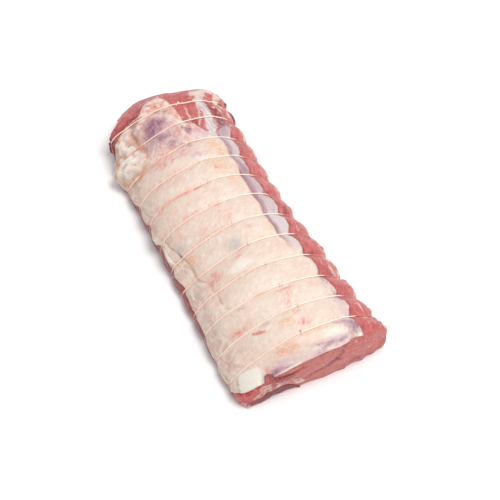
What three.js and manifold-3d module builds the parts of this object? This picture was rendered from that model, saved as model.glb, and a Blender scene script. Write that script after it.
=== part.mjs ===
// A boneless veal loin, trimmed, rolled and tied as a roast.
// Millimetres. +X runs across the loin to the side where the lean shows, +Y runs along it from the near cut
// face to the far end, +Z is up. The origin is on the surface it lies on, under the middle of the loin.
//
// The loin is one lofted envelope: a rounded section whose width, height and corners change along Y. Twelve
// string grooves press into it. Two surfaces divide it into its pieces: the underside of the fat cap, and the
// top of the thin flank muscle that is folded under the left side.
import * as THREE from "three";
import { mergeVertices } from "three/addons/utils/BufferGeometryUtils.js";
import Module from "manifold-3d";

const wasm = await Module();
wasm.setup();

// ---- Driving dimensions -------------------------------------------------------------------------------

const NEAR_END = -167.5; // the near cut face
const FAR_END = 166; // the furthest point of the far end
const LOOPS = 12; // loops of twine
const PITCH = 25; // from one loop to the next: one inch of machine tying
const FIRST_LOOP = -146;
const TWINE_RADIUS = 0.75;
const TWINE_SIDES = 5;
const KNOT_RADIUS = 1.7;
const TWINE_GAP = 0.5; // between the twine and the bottom of its groove
const GAP = 0.3; // between the other pieces that touch

// Each list gives a size of the section at places along Y, as [y, size].
const LEFT_EDGE = [[-166, -66.5], [-150, -69], [-100, -69], [60, -69], [85, -70.5], [98, -72], [108, -68.5],
  [118, -65.5], [130, -66], [140, -66.5], [149, -65], [158, -58], [166, -47]];
const RIGHT_EDGE = [[-166, 71], [-146, 71.5], [-121, 69], [-96, 66], [-56, 63], [-20, 57.5],
  [17, 55], [97, 54.5], [120, 55.5], [150, 55], [166, 48]];
const CROWN_HEIGHT = [[-166, 42.5], [-158, 47.5], [-146, 51], [-96, 50.2], [-10, 51.6], [30, 52.8],
  [79, 50.3], [104, 50.5], [129, 48], [145, 43], [157, 36], [166, 25]];
const CROWN_X = [[-166, 20], [-146, 4], [-96, 0], [0, 0], [104, -5], [129, -9], [166, -9]];
const LEFT_HEIGHT = [[-166, 9], [90, 9], [112, 12], [128, 20], [142, 22], [166, 15]];
const RIGHT_HEIGHT = 13; // height of the widest point on the right
// Fullness of a shoulder: 1 is a straight chamfer, 2 an ellipse, more is squarer.
const LEFT_FULLNESS = [[-166, 1.7], [-121, 1.62], [-96, 1.95], [-71, 1.55], [-46, 1.4], [-21, 1.6],
  [4, 2.1], [29, 2.3], [54, 1.85], [79, 1.5], [104, 1.5], [129, 1.62], [150, 2], [166, 2.2]];
const RIGHT_FULLNESS = [[-166, 3.4], [-156, 2.9], [-146, 2.3], [-96, 1.85], [4, 1.75], [29, 1.6], [79, 1.62],
  [104, 1.74], [129, 1.6], [141, 2.05], [166, 2.4]];
const LEFT_FOOT_FULLNESS = 5.5; // the left side stands nearly upright on the table
const RIGHT_FOOT_FULLNESS = [[-166, 5], [-145, 3.5], [-120, 3.2]];
const FOOT_SINK = 1.2; // how far the round section would reach below the table: this much is pressed flat

// How far each end stands back from its furthest point, as [x, distance].
const FAR_OUTLINE = [[-72, 46], [-62, 28], [-51, 13], [-37, 6], [-24, 1], [-10, 0], [3, 2], [9, 5],
  [24, 7], [37, 8], [46, 12], [55, 22]];
const NEAR_OUTLINE = [[-70, 12], [-66, 8], [-61.5, 1.5], [-50, 0.5], [-30, 1.5], [20, 0], [50, 1.5], [71, 4]];
const FAR_TURN = 131; // where the far end's outline starts to bend the sections
const NEAR_TURN = -152;
const FAR_TUCK = 9; // how far the foot of the far end is drawn in
const TUCK_HEIGHT = 16; // below this height

// Grooves that the twine presses, and the pillows between them, as [angle in degrees, size].
const GROOVE_DEPTH = [[0, 3.4], [35, 2.6], [60, 1.7], [100, 1.5], [150, 1.8], [180, 1.6], [210, 1.8],
  [235, 2.5], [330, 2.5], [360, 3.4]];
const PILLOW_HEIGHT = [[0, 1.6], [35, 1], [60, 0.5], [100, 0.5], [150, 0.7], [180, 0.2], [210, 0.4],
  [235, 1.5], [330, 1.5], [360, 1.6]];
const PILLOW_POWER = 2.6; // how quickly a pillow fills out beside its groove

// The fat cap: where it ends, and how thick it is. Angles are in degrees, from the right side over the top.
const CAP_RIGHT_ANGLE = [[-166, 70], [-150, 57], [-127, 47], [-96, 46], [-55, 50], [-31, 45],
  [-10, 42], [30, 45], [61, 41], [86, 38], [115, 32]];
const CAP_LEFT_ANGLE = [[-166, 176], [-142, 182], [-110, 181], [-86, 167], [-48, 163], [0, 165], [18, 172],
  [50, 172], [76, 184], [96, 189], [110, 178], [124, 164]];
const CAP_FAR_LINE = [[-66, 112], [-55, 128], [-42, 132], [-32, 135], [-24, 143], [-12, 146], [-4, 132],
  [1, 103], [10, 93], [20, 84], [28, 94], [40, 104]];
const FAT_THICKNESS = [[30, 2.8], [58, 3], [75, 6.5], [100, 9], [165, 9], [180, 7]];
const NEAR_FAT_SHARE = [[-168, 0.35], [-150, 0.9], [-130, 1]]; // the cap thins towards the near face
const CAP_FEATHER = 11; // how far in from its edge the cap gains its thickness
const OUTSIDE_CLEARANCE = 5; // beyond the cap's edge the cutting surface lies this far clear of the loin
const LIP_STEP = 2.5; // the lean at the far end stands this much lower than the cap
const LIP_SLOPE = 7;

// Lumps and dents as [y, angle in degrees, height, radius]: knobs of fat at the far left, folds, and a notch
// at each end.
const LUMPS = [[99, 166, 5, 10], [86, 150, 3.5, 9], [106, 147, 3, 9], [119, 160, 3, 8],
  [96, 132, -2.5, 6], [112, 138, -3.5, 7], [121, 126, -2.5, 7], [-158, 133, -2.5, 8], [8, 160, 2.5, 9]];
// A long crease along the left shoulder, as [y, angle in degrees].
const CREASE_LINE = [[-96, 130], [-83, 136], [-57, 141], [-46, 148], [-20, 152], [1, 158]];
const CREASE_DEPTH = 2.2;
const CREASE_WIDTH = 6;

// The flank muscle that is folded under the left side.
const FLAP_THICKNESS = 12;
const FLAP_POWER = 3; // how squarely its top turns down at both sides
const FLAP_MIDDLE_X = [[-168, -36], [-150, -42], [-60, -40], [20, -42], [90, -43], [166, -40]];
const FLAP_HALF_WIDTH = [[-168, 25], [-150, 32], [-60, 34], [20, 32], [90, 34], [166, 33]];

// The twine's knots, on top of the loin: where each sits round its loop, in degrees, from the near loop on.
const KNOT_ANGLES = [95, 83, 86, 88, 95, 98, 96, 94, 94, 97, 90, 73];
const KNOT_SPAN = 0.06; // half a knot's length, in radians

// How finely the surfaces are divided.
const SECTION_STEPS = 36; // stations round the loin, shared by its surface and by the twine
const ROW_BESIDE_TWINE = 6; // rows of points lie on each loop and this far to both sides of it
const NEAR_ROWS = [NEAR_END, -160];
const FAR_ROWS = [142, 149, 155, 160, 164, FAR_END];
const SEAM_STEPS = 30; // stations round the underside of the cap
const SEAM_PITCH = 15.5;
const FLAP_COLUMNS = 10;
const FLAP_PITCH = 27;
const FACE_SHARES = [0.25, 0.5, 0.75]; // inner points of an end face, as shares of its height from the top
const NEAR_BULGE = 0.5; // how far the middle of an end face stands out
const FAR_BULGE = 4;
const OVERRUN = 45; // how far a cutting surface runs past the loin
const BELOW_TABLE = -6;
const MEAN_ARM = 40; // mean distance from the section's middle to its surface: turns an angle into a length
const SMALL_ANGLE = 0.03;

// ---- Curves and sections ------------------------------------------------------------------------------

const clamp = THREE.MathUtils.clamp;
const radians = THREE.MathUtils.degToRad;
const degrees = THREE.MathUtils.radToDeg;

// A smooth value at t from a list of [place, value], flat beyond its ends: a cubic with even slopes.
function along(stops, t) {
  const last = stops.length - 1;
  if (t <= stops[0][0]) return stops[0][1];
  if (t >= stops[last][0]) return stops[last][1];
  const i = stops.findIndex(([place], index) => index < last && t >= place && t < stops[index + 1][0]);
  const slope = (k) => {
    if (k === 0 || k === last) return 0;
    return (stops[k + 1][1] - stops[k - 1][1]) / (stops[k + 1][0] - stops[k - 1][0]);
  };
  const step = stops[i + 1][0] - stops[i][0];
  const s = (t - stops[i][0]) / step;
  const r = 1 - s;
  return stops[i][1] * (1 + 2 * s) * r * r + slope(i) * step * s * r * r
    + stops[i + 1][1] * s * s * (3 - 2 * s) - slope(i + 1) * step * s * s * r;
}

const signedPower = (value, power) => Math.sign(value) * Math.abs(value) ** power;

// The smooth section at y: four quarters of a superellipse, pressed flat on the table. The angle runs from
// the right side (0) over the crown (90 degrees) and the left side (180) to the underside (270).
function sectionPoint(y, angle) {
  const cos = Math.cos(angle);
  const sin = Math.sin(angle);
  const crownX = along(CROWN_X, y);
  const sideZ = cos >= 0 ? RIGHT_HEIGHT : along(LEFT_HEIGHT, y);
  const reach = cos >= 0 ? along(RIGHT_EDGE, y) - crownX : crownX - along(LEFT_EDGE, y);
  const rise = sin >= 0 ? along(CROWN_HEIGHT, y) - sideZ : sideZ + FOOT_SINK;
  const shoulder = along(cos >= 0 ? RIGHT_FULLNESS : LEFT_FULLNESS, y);
  const foot = cos >= 0 ? along(RIGHT_FOOT_FULLNESS, y) : LEFT_FOOT_FULLNESS;
  const power = 2 / (sin >= 0 ? shoulder : foot);
  return new THREE.Vector2(
    crownX + reach * signedPower(cos, power),
    Math.max(0, sideZ + rise * signedPower(sin, power)),
  );
}

// The outward direction of that section.
function sectionNormal(y, angle) {
  const tangent = sectionPoint(y, angle + SMALL_ANGLE).sub(sectionPoint(y, angle - SMALL_ANGLE));
  return new THREE.Vector2(tangent.y, -tangent.x).normalize();
}

// Where a point of the section at y ends up once both ends take their outline and the far foot is tucked.
function bentY(y, x, z) {
  const far = clamp((y - FAR_TURN) / (FAR_END - FAR_TURN), 0, 1);
  const near = clamp((NEAR_TURN - y) / (NEAR_TURN - NEAR_END), 0, 1);
  const tuck = FAR_TUCK * clamp(1 - z / TUCK_HEIGHT, 0, 1) ** 2;
  return y - far * (along(FAR_OUTLINE, x) + tuck) + near * along(NEAR_OUTLINE, x);
}

// ---- Relief -------------------------------------------------------------------------------------------

// 0 in the bottom of a groove, rising to 1 on the pillow between two loops.
function pillow(y) {
  const nearest = clamp(Math.round((y - FIRST_LOOP) / PITCH), 0, LOOPS - 1);
  const share = Math.min(1, Math.abs(y - FIRST_LOOP - nearest * PITCH) / (PITCH / 2));
  return 1 - (1 - share) ** PILLOW_POWER;
}

const bell = (distance, radius) => Math.exp(-((distance / radius) ** 2));

function lumpsAt(y, angle) {
  return LUMPS.reduce((sum, [lumpY, lumpAngle, height, radius]) => {
    const distance = Math.hypot(y - lumpY, (angle - radians(lumpAngle)) * MEAN_ARM);
    return sum + height * bell(distance, radius);
  }, 0);
}

function creaseAt(y, angle) {
  const fromNear = clamp((y - CREASE_LINE[0][0]) / PITCH, 0, 1);
  const fromFar = clamp((CREASE_LINE.at(-1)[0] - y) / PITCH, 0, 1);
  const distance = (angle - radians(along(CREASE_LINE, y))) * MEAN_ARM;
  return -CREASE_DEPTH * fromNear * fromFar * bell(distance, CREASE_WIDTH);
}

// How far inside the fat cap's edge a place is, in millimetres: negative where the lean is bare.
function insideCap(y, angle, x) {
  const right = (angle - radians(along(CAP_RIGHT_ANGLE, y))) * MEAN_ARM;
  const left = (radians(along(CAP_LEFT_ANGLE, y)) - angle) * MEAN_ARM;
  const far = along(CAP_FAR_LINE, x) - y;
  return Math.min(right, left, far);
}

function lipAt(y, angle, x) {
  const beyond = y - along(CAP_FAR_LINE, x);
  return angle > Math.PI ? 0 : -LIP_STEP * THREE.MathUtils.smoothstep(beyond, 0, LIP_SLOPE);
}

function reliefAt(y, angle, x) {
  const round = degrees(angle);
  const fill = pillow(y);
  const depth = along(GROOVE_DEPTH, round);
  const swell = (along(PILLOW_HEIGHT, round) + depth) * fill - depth;
  return swell + fill * (lumpsAt(y, angle) + creaseAt(y, angle) + lipAt(y, angle, x));
}

// A point of the loin's real surface.
function skinPoint(y, angle) {
  const base = sectionPoint(y, angle);
  const out = sectionNormal(y, angle).multiplyScalar(reliefAt(y, angle, base.x));
  return new THREE.Vector3(base.x + out.x, bentY(y, base.x, base.y), Math.max(0, base.y + out.y));
}

// A point of the surface between fat and lean. Outside the cap's edge it lies clear of the loin.
function seamPoint(y, angle, shift) {
  const base = sectionPoint(y, angle);
  const inside = insideCap(y, angle, base.x);
  const thickness = along(FAT_THICKNESS, degrees(angle)) * along(NEAR_FAT_SHARE, y);
  const full = inside > 0 ? thickness : OUTSIDE_CLEARANCE;
  const depth = full * Math.tanh(inside / CAP_FEATHER) + shift;
  const out = sectionNormal(y, angle).multiplyScalar(-depth);
  return new THREE.Vector3(base.x + out.x, bentY(y, base.x, base.y), base.y + out.y);
}

// ---- Solids -------------------------------------------------------------------------------------------

// The triangles that close one end of a loft. Upright columns join each point of the ring's upper half to
// the matching one of the lower half, and their inner points bulge out along the loft.
function endFace(points, first, count, bulge) {
  const half = count / 2;
  const column = (j) => {
    const top = points[first + j];
    const foot = points[first + count - j];
    const inner = FACE_SHARES.map((share) => {
      const point = top.clone().lerp(foot, share);
      point.y += bulge * (1 - (2 * share - 1) ** 2);
      return points.push(point) - 1;
    });
    return [first + j, ...inner, first + count - j];
  };
  const columns = Array.from({ length: half - 1 }, (_, k) => column(k + 1));
  const triangles = [];
  columns.slice(1).forEach((there, k) => {
    const here = columns[k];
    for (let t = 0; t + 1 < here.length; t += 1) {
      triangles.push([here[t], there[t], there[t + 1]], [here[t], there[t + 1], here[t + 1]]);
    }
  });
  const [right, left] = [columns[0], columns.at(-1)];
  for (let t = 0; t + 1 < right.length; t += 1) {
    triangles.push([first, right[t], right[t + 1]], [first + half, left[t + 1], left[t]]);
  }
  return triangles;
}

// A closed body through rings of points of equal, even count.
function loft(rings, nearBulge = 0, farBulge = 0) {
  const count = rings[0].length;
  const points = rings.flat();
  const faces = [];
  const lastRing = (rings.length - 1) * count;
  for (let base = 0; base < lastRing; base += count) {
    for (let j = 0; j < count; j += 1) {
      const next = (j + 1) % count;
      faces.push(base + j, base + count + j, base + count + next);
      faces.push(base + j, base + count + next, base + next);
    }
  }
  endFace(points, 0, count, -nearBulge).forEach((face) => faces.push(...face));
  endFace(points, lastRing, count, farBulge).forEach(([a, b, c]) => faces.push(a, c, b));
  return new THREE.BufferGeometry().setFromPoints(points).setIndex(faces);
}

// A closed hoop through rings of points: the last ring joins the first.
function hoop(rings) {
  const count = rings[0].length;
  const faces = [];
  rings.forEach((ring, i) => {
    const here = i * count;
    const there = ((i + 1) % rings.length) * count;
    for (let j = 0; j < count; j += 1) {
      const next = (j + 1) % count;
      faces.push(here + j, there + next, there + j);
      faces.push(here + j, here + next, there + next);
    }
  });
  return new THREE.BufferGeometry().setFromPoints(rings.flat()).setIndex(faces);
}

function solidOf(geometry) {
  const merged = mergeVertices(geometry, 1e-4);
  return new wasm.Manifold(new wasm.Mesh({
    numProp: 3,
    vertProperties: merged.attributes.position.array,
    triVerts: new Uint32Array(merged.index.array),
  }));
}

function geometryOf(solid) {
  const mesh = solid.getMesh();
  return new THREE.BufferGeometry()
    .setAttribute("position", new THREE.BufferAttribute(new Float32Array(mesh.vertProperties), 3))
    .setIndex(new THREE.BufferAttribute(new Uint32Array(mesh.triVerts), 1));
}

// The largest body of a solid: a cut along a feathered edge can leave loose scraps.
function largestBody(solid) {
  return solid.decompose().reduce((best, body) => (body.volume() > best.volume() ? body : best));
}

const stations = (steps) => Array.from({ length: steps }, (_, j) => (2 * Math.PI * j) / steps);

// Places along Y with a ring of points: three for each loop of twine, and more where the ends turn.
function skinRows() {
  const beside = [-ROW_BESIDE_TWINE, 0, ROW_BESIDE_TWINE];
  const loops = Array.from({ length: LOOPS }, (_, k) => FIRST_LOOP + k * PITCH);
  return [...NEAR_ROWS, ...loops.flatMap((y) => beside.map((step) => y + step)), ...FAR_ROWS];
}

function wholeLoin() {
  const angles = stations(SECTION_STEPS);
  const rings = skinRows().map((y) => angles.map((angle) => skinPoint(y, angle)));
  return solidOf(loft(rings, NEAR_BULGE, FAR_BULGE));
}

const moved = (ring, step) => ring.map((point) => new THREE.Vector3(point.x, point.y + step, point.z));

// Everything inside the underside of the fat cap, running past both ends of the loin.
function insideSeam(shift) {
  const angles = stations(SEAM_STEPS);
  const rings = [];
  for (let y = NEAR_END - SEAM_PITCH / 2; y < FAR_END + SEAM_PITCH; y += SEAM_PITCH) {
    rings.push(angles.map((angle) => seamPoint(y, angle, shift)));
  }
  return solidOf(loft([moved(rings[0], -OVERRUN), ...rings, moved(rings.at(-1), OVERRUN)]));
}

// One cross-section of the space under the top of the flank muscle. A share is a distance from its middle, in
// half widths.
function flapRing(y, shift) {
  const middle = along(FLAP_MIDDLE_X, y);
  const half = along(FLAP_HALF_WIDTH, y);
  const edge = 1 + 1 / FLAP_COLUMNS;
  const shares = Array.from({ length: FLAP_COLUMNS + 1 }, (_, i) => edge * (1 - (2 * i) / FLAP_COLUMNS));
  const top = shares.map((share) => {
    const height = FLAP_THICKNESS * (1 - Math.abs(share) ** FLAP_POWER);
    return new THREE.Vector3(middle + share * half, y, height + shift);
  });
  const inner = shares.slice(1, -1).reverse();
  return [...top, ...inner.map((share) => new THREE.Vector3(middle + share * half, y, BELOW_TABLE))];
}

function underFlapTop(shift) {
  const rings = [];
  for (let y = NEAR_END - OVERRUN; y < FAR_END + OVERRUN; y += FLAP_PITCH) {
    rings.push(flapRing(y, shift));
  }
  return solidOf(loft(rings));
}

// ---- Twine --------------------------------------------------------------------------------------------

// A place on the flat facet that spans two stations of the section, and the facet's outward direction. At a
// station itself, where two facets meet, the direction is the section's own.
function onFacet(y, angle) {
  const step = (2 * Math.PI) / SECTION_STEPS;
  const station = Math.round(angle / step) * step;
  if (Math.abs(angle - station) < 1e-6) {
    return { place: skinPoint(y, station), out: sectionNormal(y, station) };
  }
  const before = Math.floor(angle / step) * step;
  const start = skinPoint(y, before);
  const end = skinPoint(y, before + step);
  return {
    place: start.clone().lerp(end, (angle - before) / step),
    out: new THREE.Vector2(end.z - start.z, start.x - end.x).normalize(),
  };
}

// One loop of twine, drawn tight in its groove and knotted on top: its radius swells at the knot.
function twineLoop(index) {
  const y = FIRST_LOOP + index * PITCH;
  const knot = radians(KNOT_ANGLES[index]);
  const plain = stations(SECTION_STEPS).filter((angle) => Math.abs(angle - knot) > KNOT_SPAN * 1.3);
  const angles = [...plain, knot - KNOT_SPAN, knot, knot + KNOT_SPAN].sort((a, b) => a - b);
  const sides = stations(TWINE_SIDES);
  return hoop(angles.map((angle) => {
    const { place, out } = onFacet(y, angle);
    const radius = angle === knot ? KNOT_RADIUS : TWINE_RADIUS;
    return sides.map((turn) => {
      const away = TWINE_GAP + radius * (1 + Math.cos(turn));
      const across = radius * Math.sin(turn);
      return new THREE.Vector3(place.x + out.x * away, place.y + across, place.z + out.y * away);
    });
  }));
}

// ---- Materials and pieces -----------------------------------------------------------------------------

function matt(name, color, roughness) {
  return new THREE.MeshStandardMaterial({ name, color, roughness, metalness: 0 });
}

const leanMaterial = () => matt("veal_lean", 0xc4686a, 0.42);
const fatMaterial = () => matt("veal_fat", 0xefdccd, 0.5);
const flapMaterial = () => matt("flank_lean", 0xa04c4e, 0.45);
const twineMaterial = () => matt("cotton_twine", 0xf3ead9, 0.9);

function piece(name, geometry, material) {
  const mesh = new THREE.Mesh(geometry, material);
  mesh.name = name;
  return mesh;
}

const loin = new THREE.Group();
loin.name = "veal_loin";

const whole = wholeLoin();
const flapRoom = underFlapTop(GAP / 2);
const fatCap = whole.subtract(insideSeam(-GAP / 2)).subtract(flapRoom);
const lean = whole.intersect(insideSeam(GAP / 2)).subtract(flapRoom);
const flap = whole.intersect(underFlapTop(-GAP / 2));

loin.add(piece("lean_loin", geometryOf(largestBody(lean)), leanMaterial()));
loin.add(piece("fat_cap", geometryOf(largestBody(fatCap)), fatMaterial()));
loin.add(piece("flank_flap", geometryOf(largestBody(flap)), flapMaterial()));
for (let k = 0; k < LOOPS; k += 1) {
  const name = `twine_${String(k + 1).padStart(2, "0")}`;
  loin.add(piece(name, twineLoop(k), twineMaterial()));
}

export default loin;
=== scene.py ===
# %% [markdown]
# # A boneless veal loin, tied as a roast
#
# A veal loin is one long muscle with a cap of fat and silvery membrane over its back, a thin flank muscle
# folded under one side, and twelve loops of cotton twine drawn tight round it. This lesson builds each of
# those as a surface worked out with numpy, and finishes it with layered, procedural materials.
#
# The CAD model is loaded first. It fixes the size and place of every piece, so the surfaces below follow the
# same section, and only add what the coarse solids leave out.

# %% Load the frame
import bpy
import bmesh
import math
import numpy as np
from mathutils import Matrix, Vector


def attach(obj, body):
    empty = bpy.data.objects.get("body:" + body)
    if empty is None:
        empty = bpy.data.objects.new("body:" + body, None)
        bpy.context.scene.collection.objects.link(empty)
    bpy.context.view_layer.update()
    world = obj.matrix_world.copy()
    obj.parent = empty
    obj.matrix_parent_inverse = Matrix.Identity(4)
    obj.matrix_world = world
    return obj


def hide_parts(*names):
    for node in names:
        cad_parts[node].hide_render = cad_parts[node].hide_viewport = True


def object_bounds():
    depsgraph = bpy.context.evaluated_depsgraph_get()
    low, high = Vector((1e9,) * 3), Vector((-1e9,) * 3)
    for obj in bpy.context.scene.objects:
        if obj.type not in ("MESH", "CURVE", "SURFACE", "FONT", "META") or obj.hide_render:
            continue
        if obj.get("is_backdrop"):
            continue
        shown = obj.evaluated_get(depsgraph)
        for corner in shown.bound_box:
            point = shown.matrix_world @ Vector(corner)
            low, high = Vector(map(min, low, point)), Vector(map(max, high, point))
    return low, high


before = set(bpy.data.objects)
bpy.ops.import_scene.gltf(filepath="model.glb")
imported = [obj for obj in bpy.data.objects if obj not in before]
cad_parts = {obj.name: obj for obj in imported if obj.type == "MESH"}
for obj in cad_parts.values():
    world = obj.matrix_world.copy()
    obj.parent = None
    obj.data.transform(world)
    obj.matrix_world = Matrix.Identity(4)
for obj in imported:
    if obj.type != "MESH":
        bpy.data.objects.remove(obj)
CAD_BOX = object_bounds()
MM = 0.001
print("CAD box", CAD_BOX)

# %% [markdown]
# ## The camera
#
# The camera comes first, because it decides which side of the roast has to be studied closest. It looks down
# on the cut face from the front and a little to the left, as at a tray on a counter. A long lens keeps the
# far end nearly as large as the near one.

# %% Camera
VIEW_AZIMUTH = math.radians(-24.936)
VIEW_ELEVATION = math.radians(56.0)
VIEW_DISTANCE = 1.2
VIEW_TARGET = Vector((0.00933, -0.02241, 0.0))
PHOTO_SIDE = 500
FOCAL_PIXELS = 1316
SENSOR_WIDTH = 36.0


def add_camera():
    """The camera stands VIEW_DISTANCE from its target, back along the line of sight."""
    flat = math.cos(VIEW_ELEVATION)
    back = Vector((math.sin(VIEW_AZIMUTH) * flat, -math.cos(VIEW_AZIMUTH) * flat, math.sin(VIEW_ELEVATION)))
    right = Vector((math.cos(VIEW_AZIMUTH), math.sin(VIEW_AZIMUTH), 0))
    data = bpy.data.cameras.new("camera")
    data.sensor_width = SENSOR_WIDTH
    data.lens = SENSOR_WIDTH * FOCAL_PIXELS / PHOTO_SIDE
    camera = bpy.data.objects.new("camera", data)
    turn = Matrix((right, back.cross(right), back)).transposed().to_4x4()
    camera.matrix_world = Matrix.Translation(VIEW_TARGET + back * VIEW_DISTANCE) @ turn
    bpy.context.scene.collection.objects.link(camera)
    bpy.context.scene.camera = camera
    return camera


print("camera", add_camera().location)

# %% [markdown]
# ## The section of the loin
#
# Cut the roast anywhere and its outline is a flattened round: a shoulder on each side, and an underside that
# its own weight presses flat. Four quarters of a superellipse give that outline from five sizes, and each size
# changes smoothly along the roast. Everything below is in millimetres until a mesh is made.
#
# A place on the surface is given by `y`, the distance along the roast, and an angle round it: 0 degrees on the
# right, 90 on the crown, 180 on the left and 270 underneath.

# %% Sizes along the roast
NEAR_END, FAR_END = -167.5, 166.0
LOOPS, PITCH, FIRST_LOOP = 12, 25.0, -146.0
LEFT_EDGE = [(-166, -66.5), (-150, -69), (-100, -69), (60, -69), (85, -70.5), (98, -72), (108, -68.5),
    (118, -65.5), (130, -66), (140, -66.5), (149, -65), (158, -58), (166, -47)]
RIGHT_EDGE = [(-166, 71), (-146, 71.5), (-121, 69), (-96, 66), (-56, 63), (-20, 57.5), (17, 55), (97, 54.5),
    (120, 55.5), (150, 55), (166, 48)]
CROWN_HEIGHT = [(-166, 42.5), (-158, 47.5), (-146, 51), (-96, 50.2), (-10, 51.6), (30, 52.8), (79, 50.3),
    (104, 50.5), (129, 48), (145, 43), (157, 36), (166, 25)]
CROWN_X = [(-166, 20), (-146, 4), (-96, 0), (0, 0), (104, -5), (129, -9), (166, -9)]
LEFT_HEIGHT = [(-166, 9), (90, 9), (112, 12), (128, 20), (142, 22), (166, 15)]
RIGHT_HEIGHT = 13.0
LEFT_FULLNESS = [(-166, 1.7), (-121, 1.62), (-96, 1.95), (-71, 1.55), (-46, 1.4), (-21, 1.6), (4, 2.1),
    (29, 2.3), (54, 1.85), (79, 1.5), (104, 1.5), (129, 1.62), (150, 2), (166, 2.2)]
RIGHT_FULLNESS = [(-166, 3.4), (-156, 2.9), (-146, 2.3), (-96, 1.85), (4, 1.75), (29, 1.6), (79, 1.62),
    (104, 1.74), (129, 1.6), (141, 2.05), (166, 2.4)]
LEFT_FOOT_FULLNESS = 5.5  # the left side stands nearly upright on the table
RIGHT_FOOT_FULLNESS = [(-166, 5), (-145, 3.5), (-120, 3.2)]
FOOT_SINK = 1.2
FAR_OUTLINE = [(-72, 46), (-62, 28), (-51, 13), (-37, 6), (-24, 1), (-10, 0), (3, 2), (9, 5), (24, 7),
    (37, 8), (46, 12), (55, 22)]
NEAR_OUTLINE = [(-70, 12), (-66, 8), (-61.5, 1.5), (-50, 0.5), (-30, 1.5), (20, 0), (50, 1.5), (71, 4)]
FAR_TURN, NEAR_TURN = 131.0, -152.0
FAR_TUCK, TUCK_HEIGHT = 9.0, 16.0
FOOT_WAVE = 1.1  # millimetres by which the foot of the cut face winds in and out
ROUNDING = 0.13  # softens the crest that a superellipse has where its quarters meet
MEAN_ARM = 40.0  # mean distance from the section's middle to its surface: turns an angle into a length


def along(stops, t):
    """A smooth value at t: cubic pieces through [place, value] stops, level beyond both ends."""
    place, value = np.array(stops, float).T
    t = np.clip(t, place[0], place[-1])
    slope = np.zeros_like(value)
    slope[1:-1] = (value[2:] - value[:-2]) / (place[2:] - place[:-2])
    i = np.clip(np.searchsorted(place, t, side="right") - 1, 0, len(place) - 2)
    step = place[i + 1] - place[i]
    s = (t - place[i]) / step
    r = 1 - s
    rising = value[i + 1] * s * s * (3 - 2 * s) - slope[i + 1] * step * s * s * r
    return value[i] * (1 + 2 * s) * r * r + slope[i] * step * s * r * r + rising


def soft_power(value, power):
    """The value times a power of its size, with the size kept above ROUNDING so that no crest is sharp."""
    size = (value * value + ROUNDING**2) / (1 + ROUNDING**2)
    return value * size ** ((power - 1) / 2)


def section(y, angle):
    """x and z of the section at y: middle + reach * cos^(2/fullness), side + rise * sin^(2/fullness)."""
    cos, sin = np.cos(angle), np.sin(angle)
    right = cos >= 0
    crown_x = along(CROWN_X, y)
    side_z = np.where(right, RIGHT_HEIGHT, along(LEFT_HEIGHT, y))
    reach = np.where(right, along(RIGHT_EDGE, y) - crown_x, crown_x - along(LEFT_EDGE, y))
    rise = np.where(sin >= 0, along(CROWN_HEIGHT, y) - side_z, side_z + FOOT_SINK)
    shoulder = np.where(right, along(RIGHT_FULLNESS, y), along(LEFT_FULLNESS, y))
    foot = np.where(right, along(RIGHT_FOOT_FULLNESS, y), LEFT_FOOT_FULLNESS)
    power = 2 / np.where(sin >= 0, shoulder, foot)
    return crown_x + reach * soft_power(cos, power), side_z + rise * soft_power(sin, power)


def section_normal(y, angle, step=0.03):
    """The outward direction: the tangent between two near angles, turned a quarter."""
    x0, z0 = section(y, angle - step)
    x1, z1 = section(y, angle + step)
    length = np.hypot(x1 - x0, z1 - z0)
    return (z1 - z0) / length, (x0 - x1) / length


def bent_y(y, x, z):
    """y once both ends take their outline: each end stands back by a distance that depends on x."""
    far = np.clip((y - FAR_TURN) / (FAR_END - FAR_TURN), 0, 1)
    near = np.clip((NEAR_TURN - y) / (NEAR_TURN - NEAR_END), 0, 1)
    tuck = FAR_TUCK * np.clip(1 - z / TUCK_HEIGHT, 0, 1) ** 2
    foot = FOOT_WAVE * np.clip(1 - z / TUCK_HEIGHT, 0, 1) * noise(x, size=6, seed=16)
    return y - far * (along(FAR_OUTLINE, x) + tuck) + near * (along(NEAR_OUTLINE, x) + foot)


def surface(y, angle, height):
    """Points height millimetres above the smooth section, pressed flat where they would pass the table."""
    x, z = section(y, angle)
    nx, nz = section_normal(y, angle)
    z = np.maximum(z, 0)
    return np.stack([x + nx * height, bent_y(y, x, z), np.maximum(z + nz * height, 0)], -1)


print("section at the middle, crown:", [round(float(v), 1) for v in section(0.0, math.pi / 2)])

# %% [markdown]
# ## Uneven by rule
#
# Meat has no two alike stretches, so smooth noise is added to nearly every surface. It is worked out here from
# a seeded lattice of random values, so that each run gives the same roast. Rounded lobes of fat come from
# cellular noise instead: the distance to the nearest of many scattered points.

# %% Noise
LATTICE = 32


def noise(*coordinates, size=10.0, seed=0):
    """Smooth noise from -1 to 1: random lattice values, blended with eased weights along each coordinate."""
    table = np.random.default_rng(seed).uniform(-1, 1, (LATTICE,) * len(coordinates))
    cells = [np.floor(c / size).astype(int) for c in coordinates]
    parts = [c / size - cell for c, cell in zip(coordinates, cells)]
    weights = [p * p * (3 - 2 * p) for p in parts]
    total = 0
    for corner in np.ndindex(*(2,) * len(coordinates)):
        share = 1
        for bit, weight in zip(corner, weights):
            share = share * (weight if bit else 1 - weight)
        total = total + share * table[tuple((cell + bit) % LATTICE for cell, bit in zip(cells, corner))]
    return total


def rough_noise(*coordinates, size=10.0, seed=0, octaves=3):
    """Noise with finer and weaker layers added: each layer has half the size and half the strength."""
    layers = [noise(*coordinates, size=size / 2**k, seed=seed + k) / 2**k for k in range(octaves)]
    return sum(layers) / (2 - 2 ** (1 - octaves))


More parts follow.
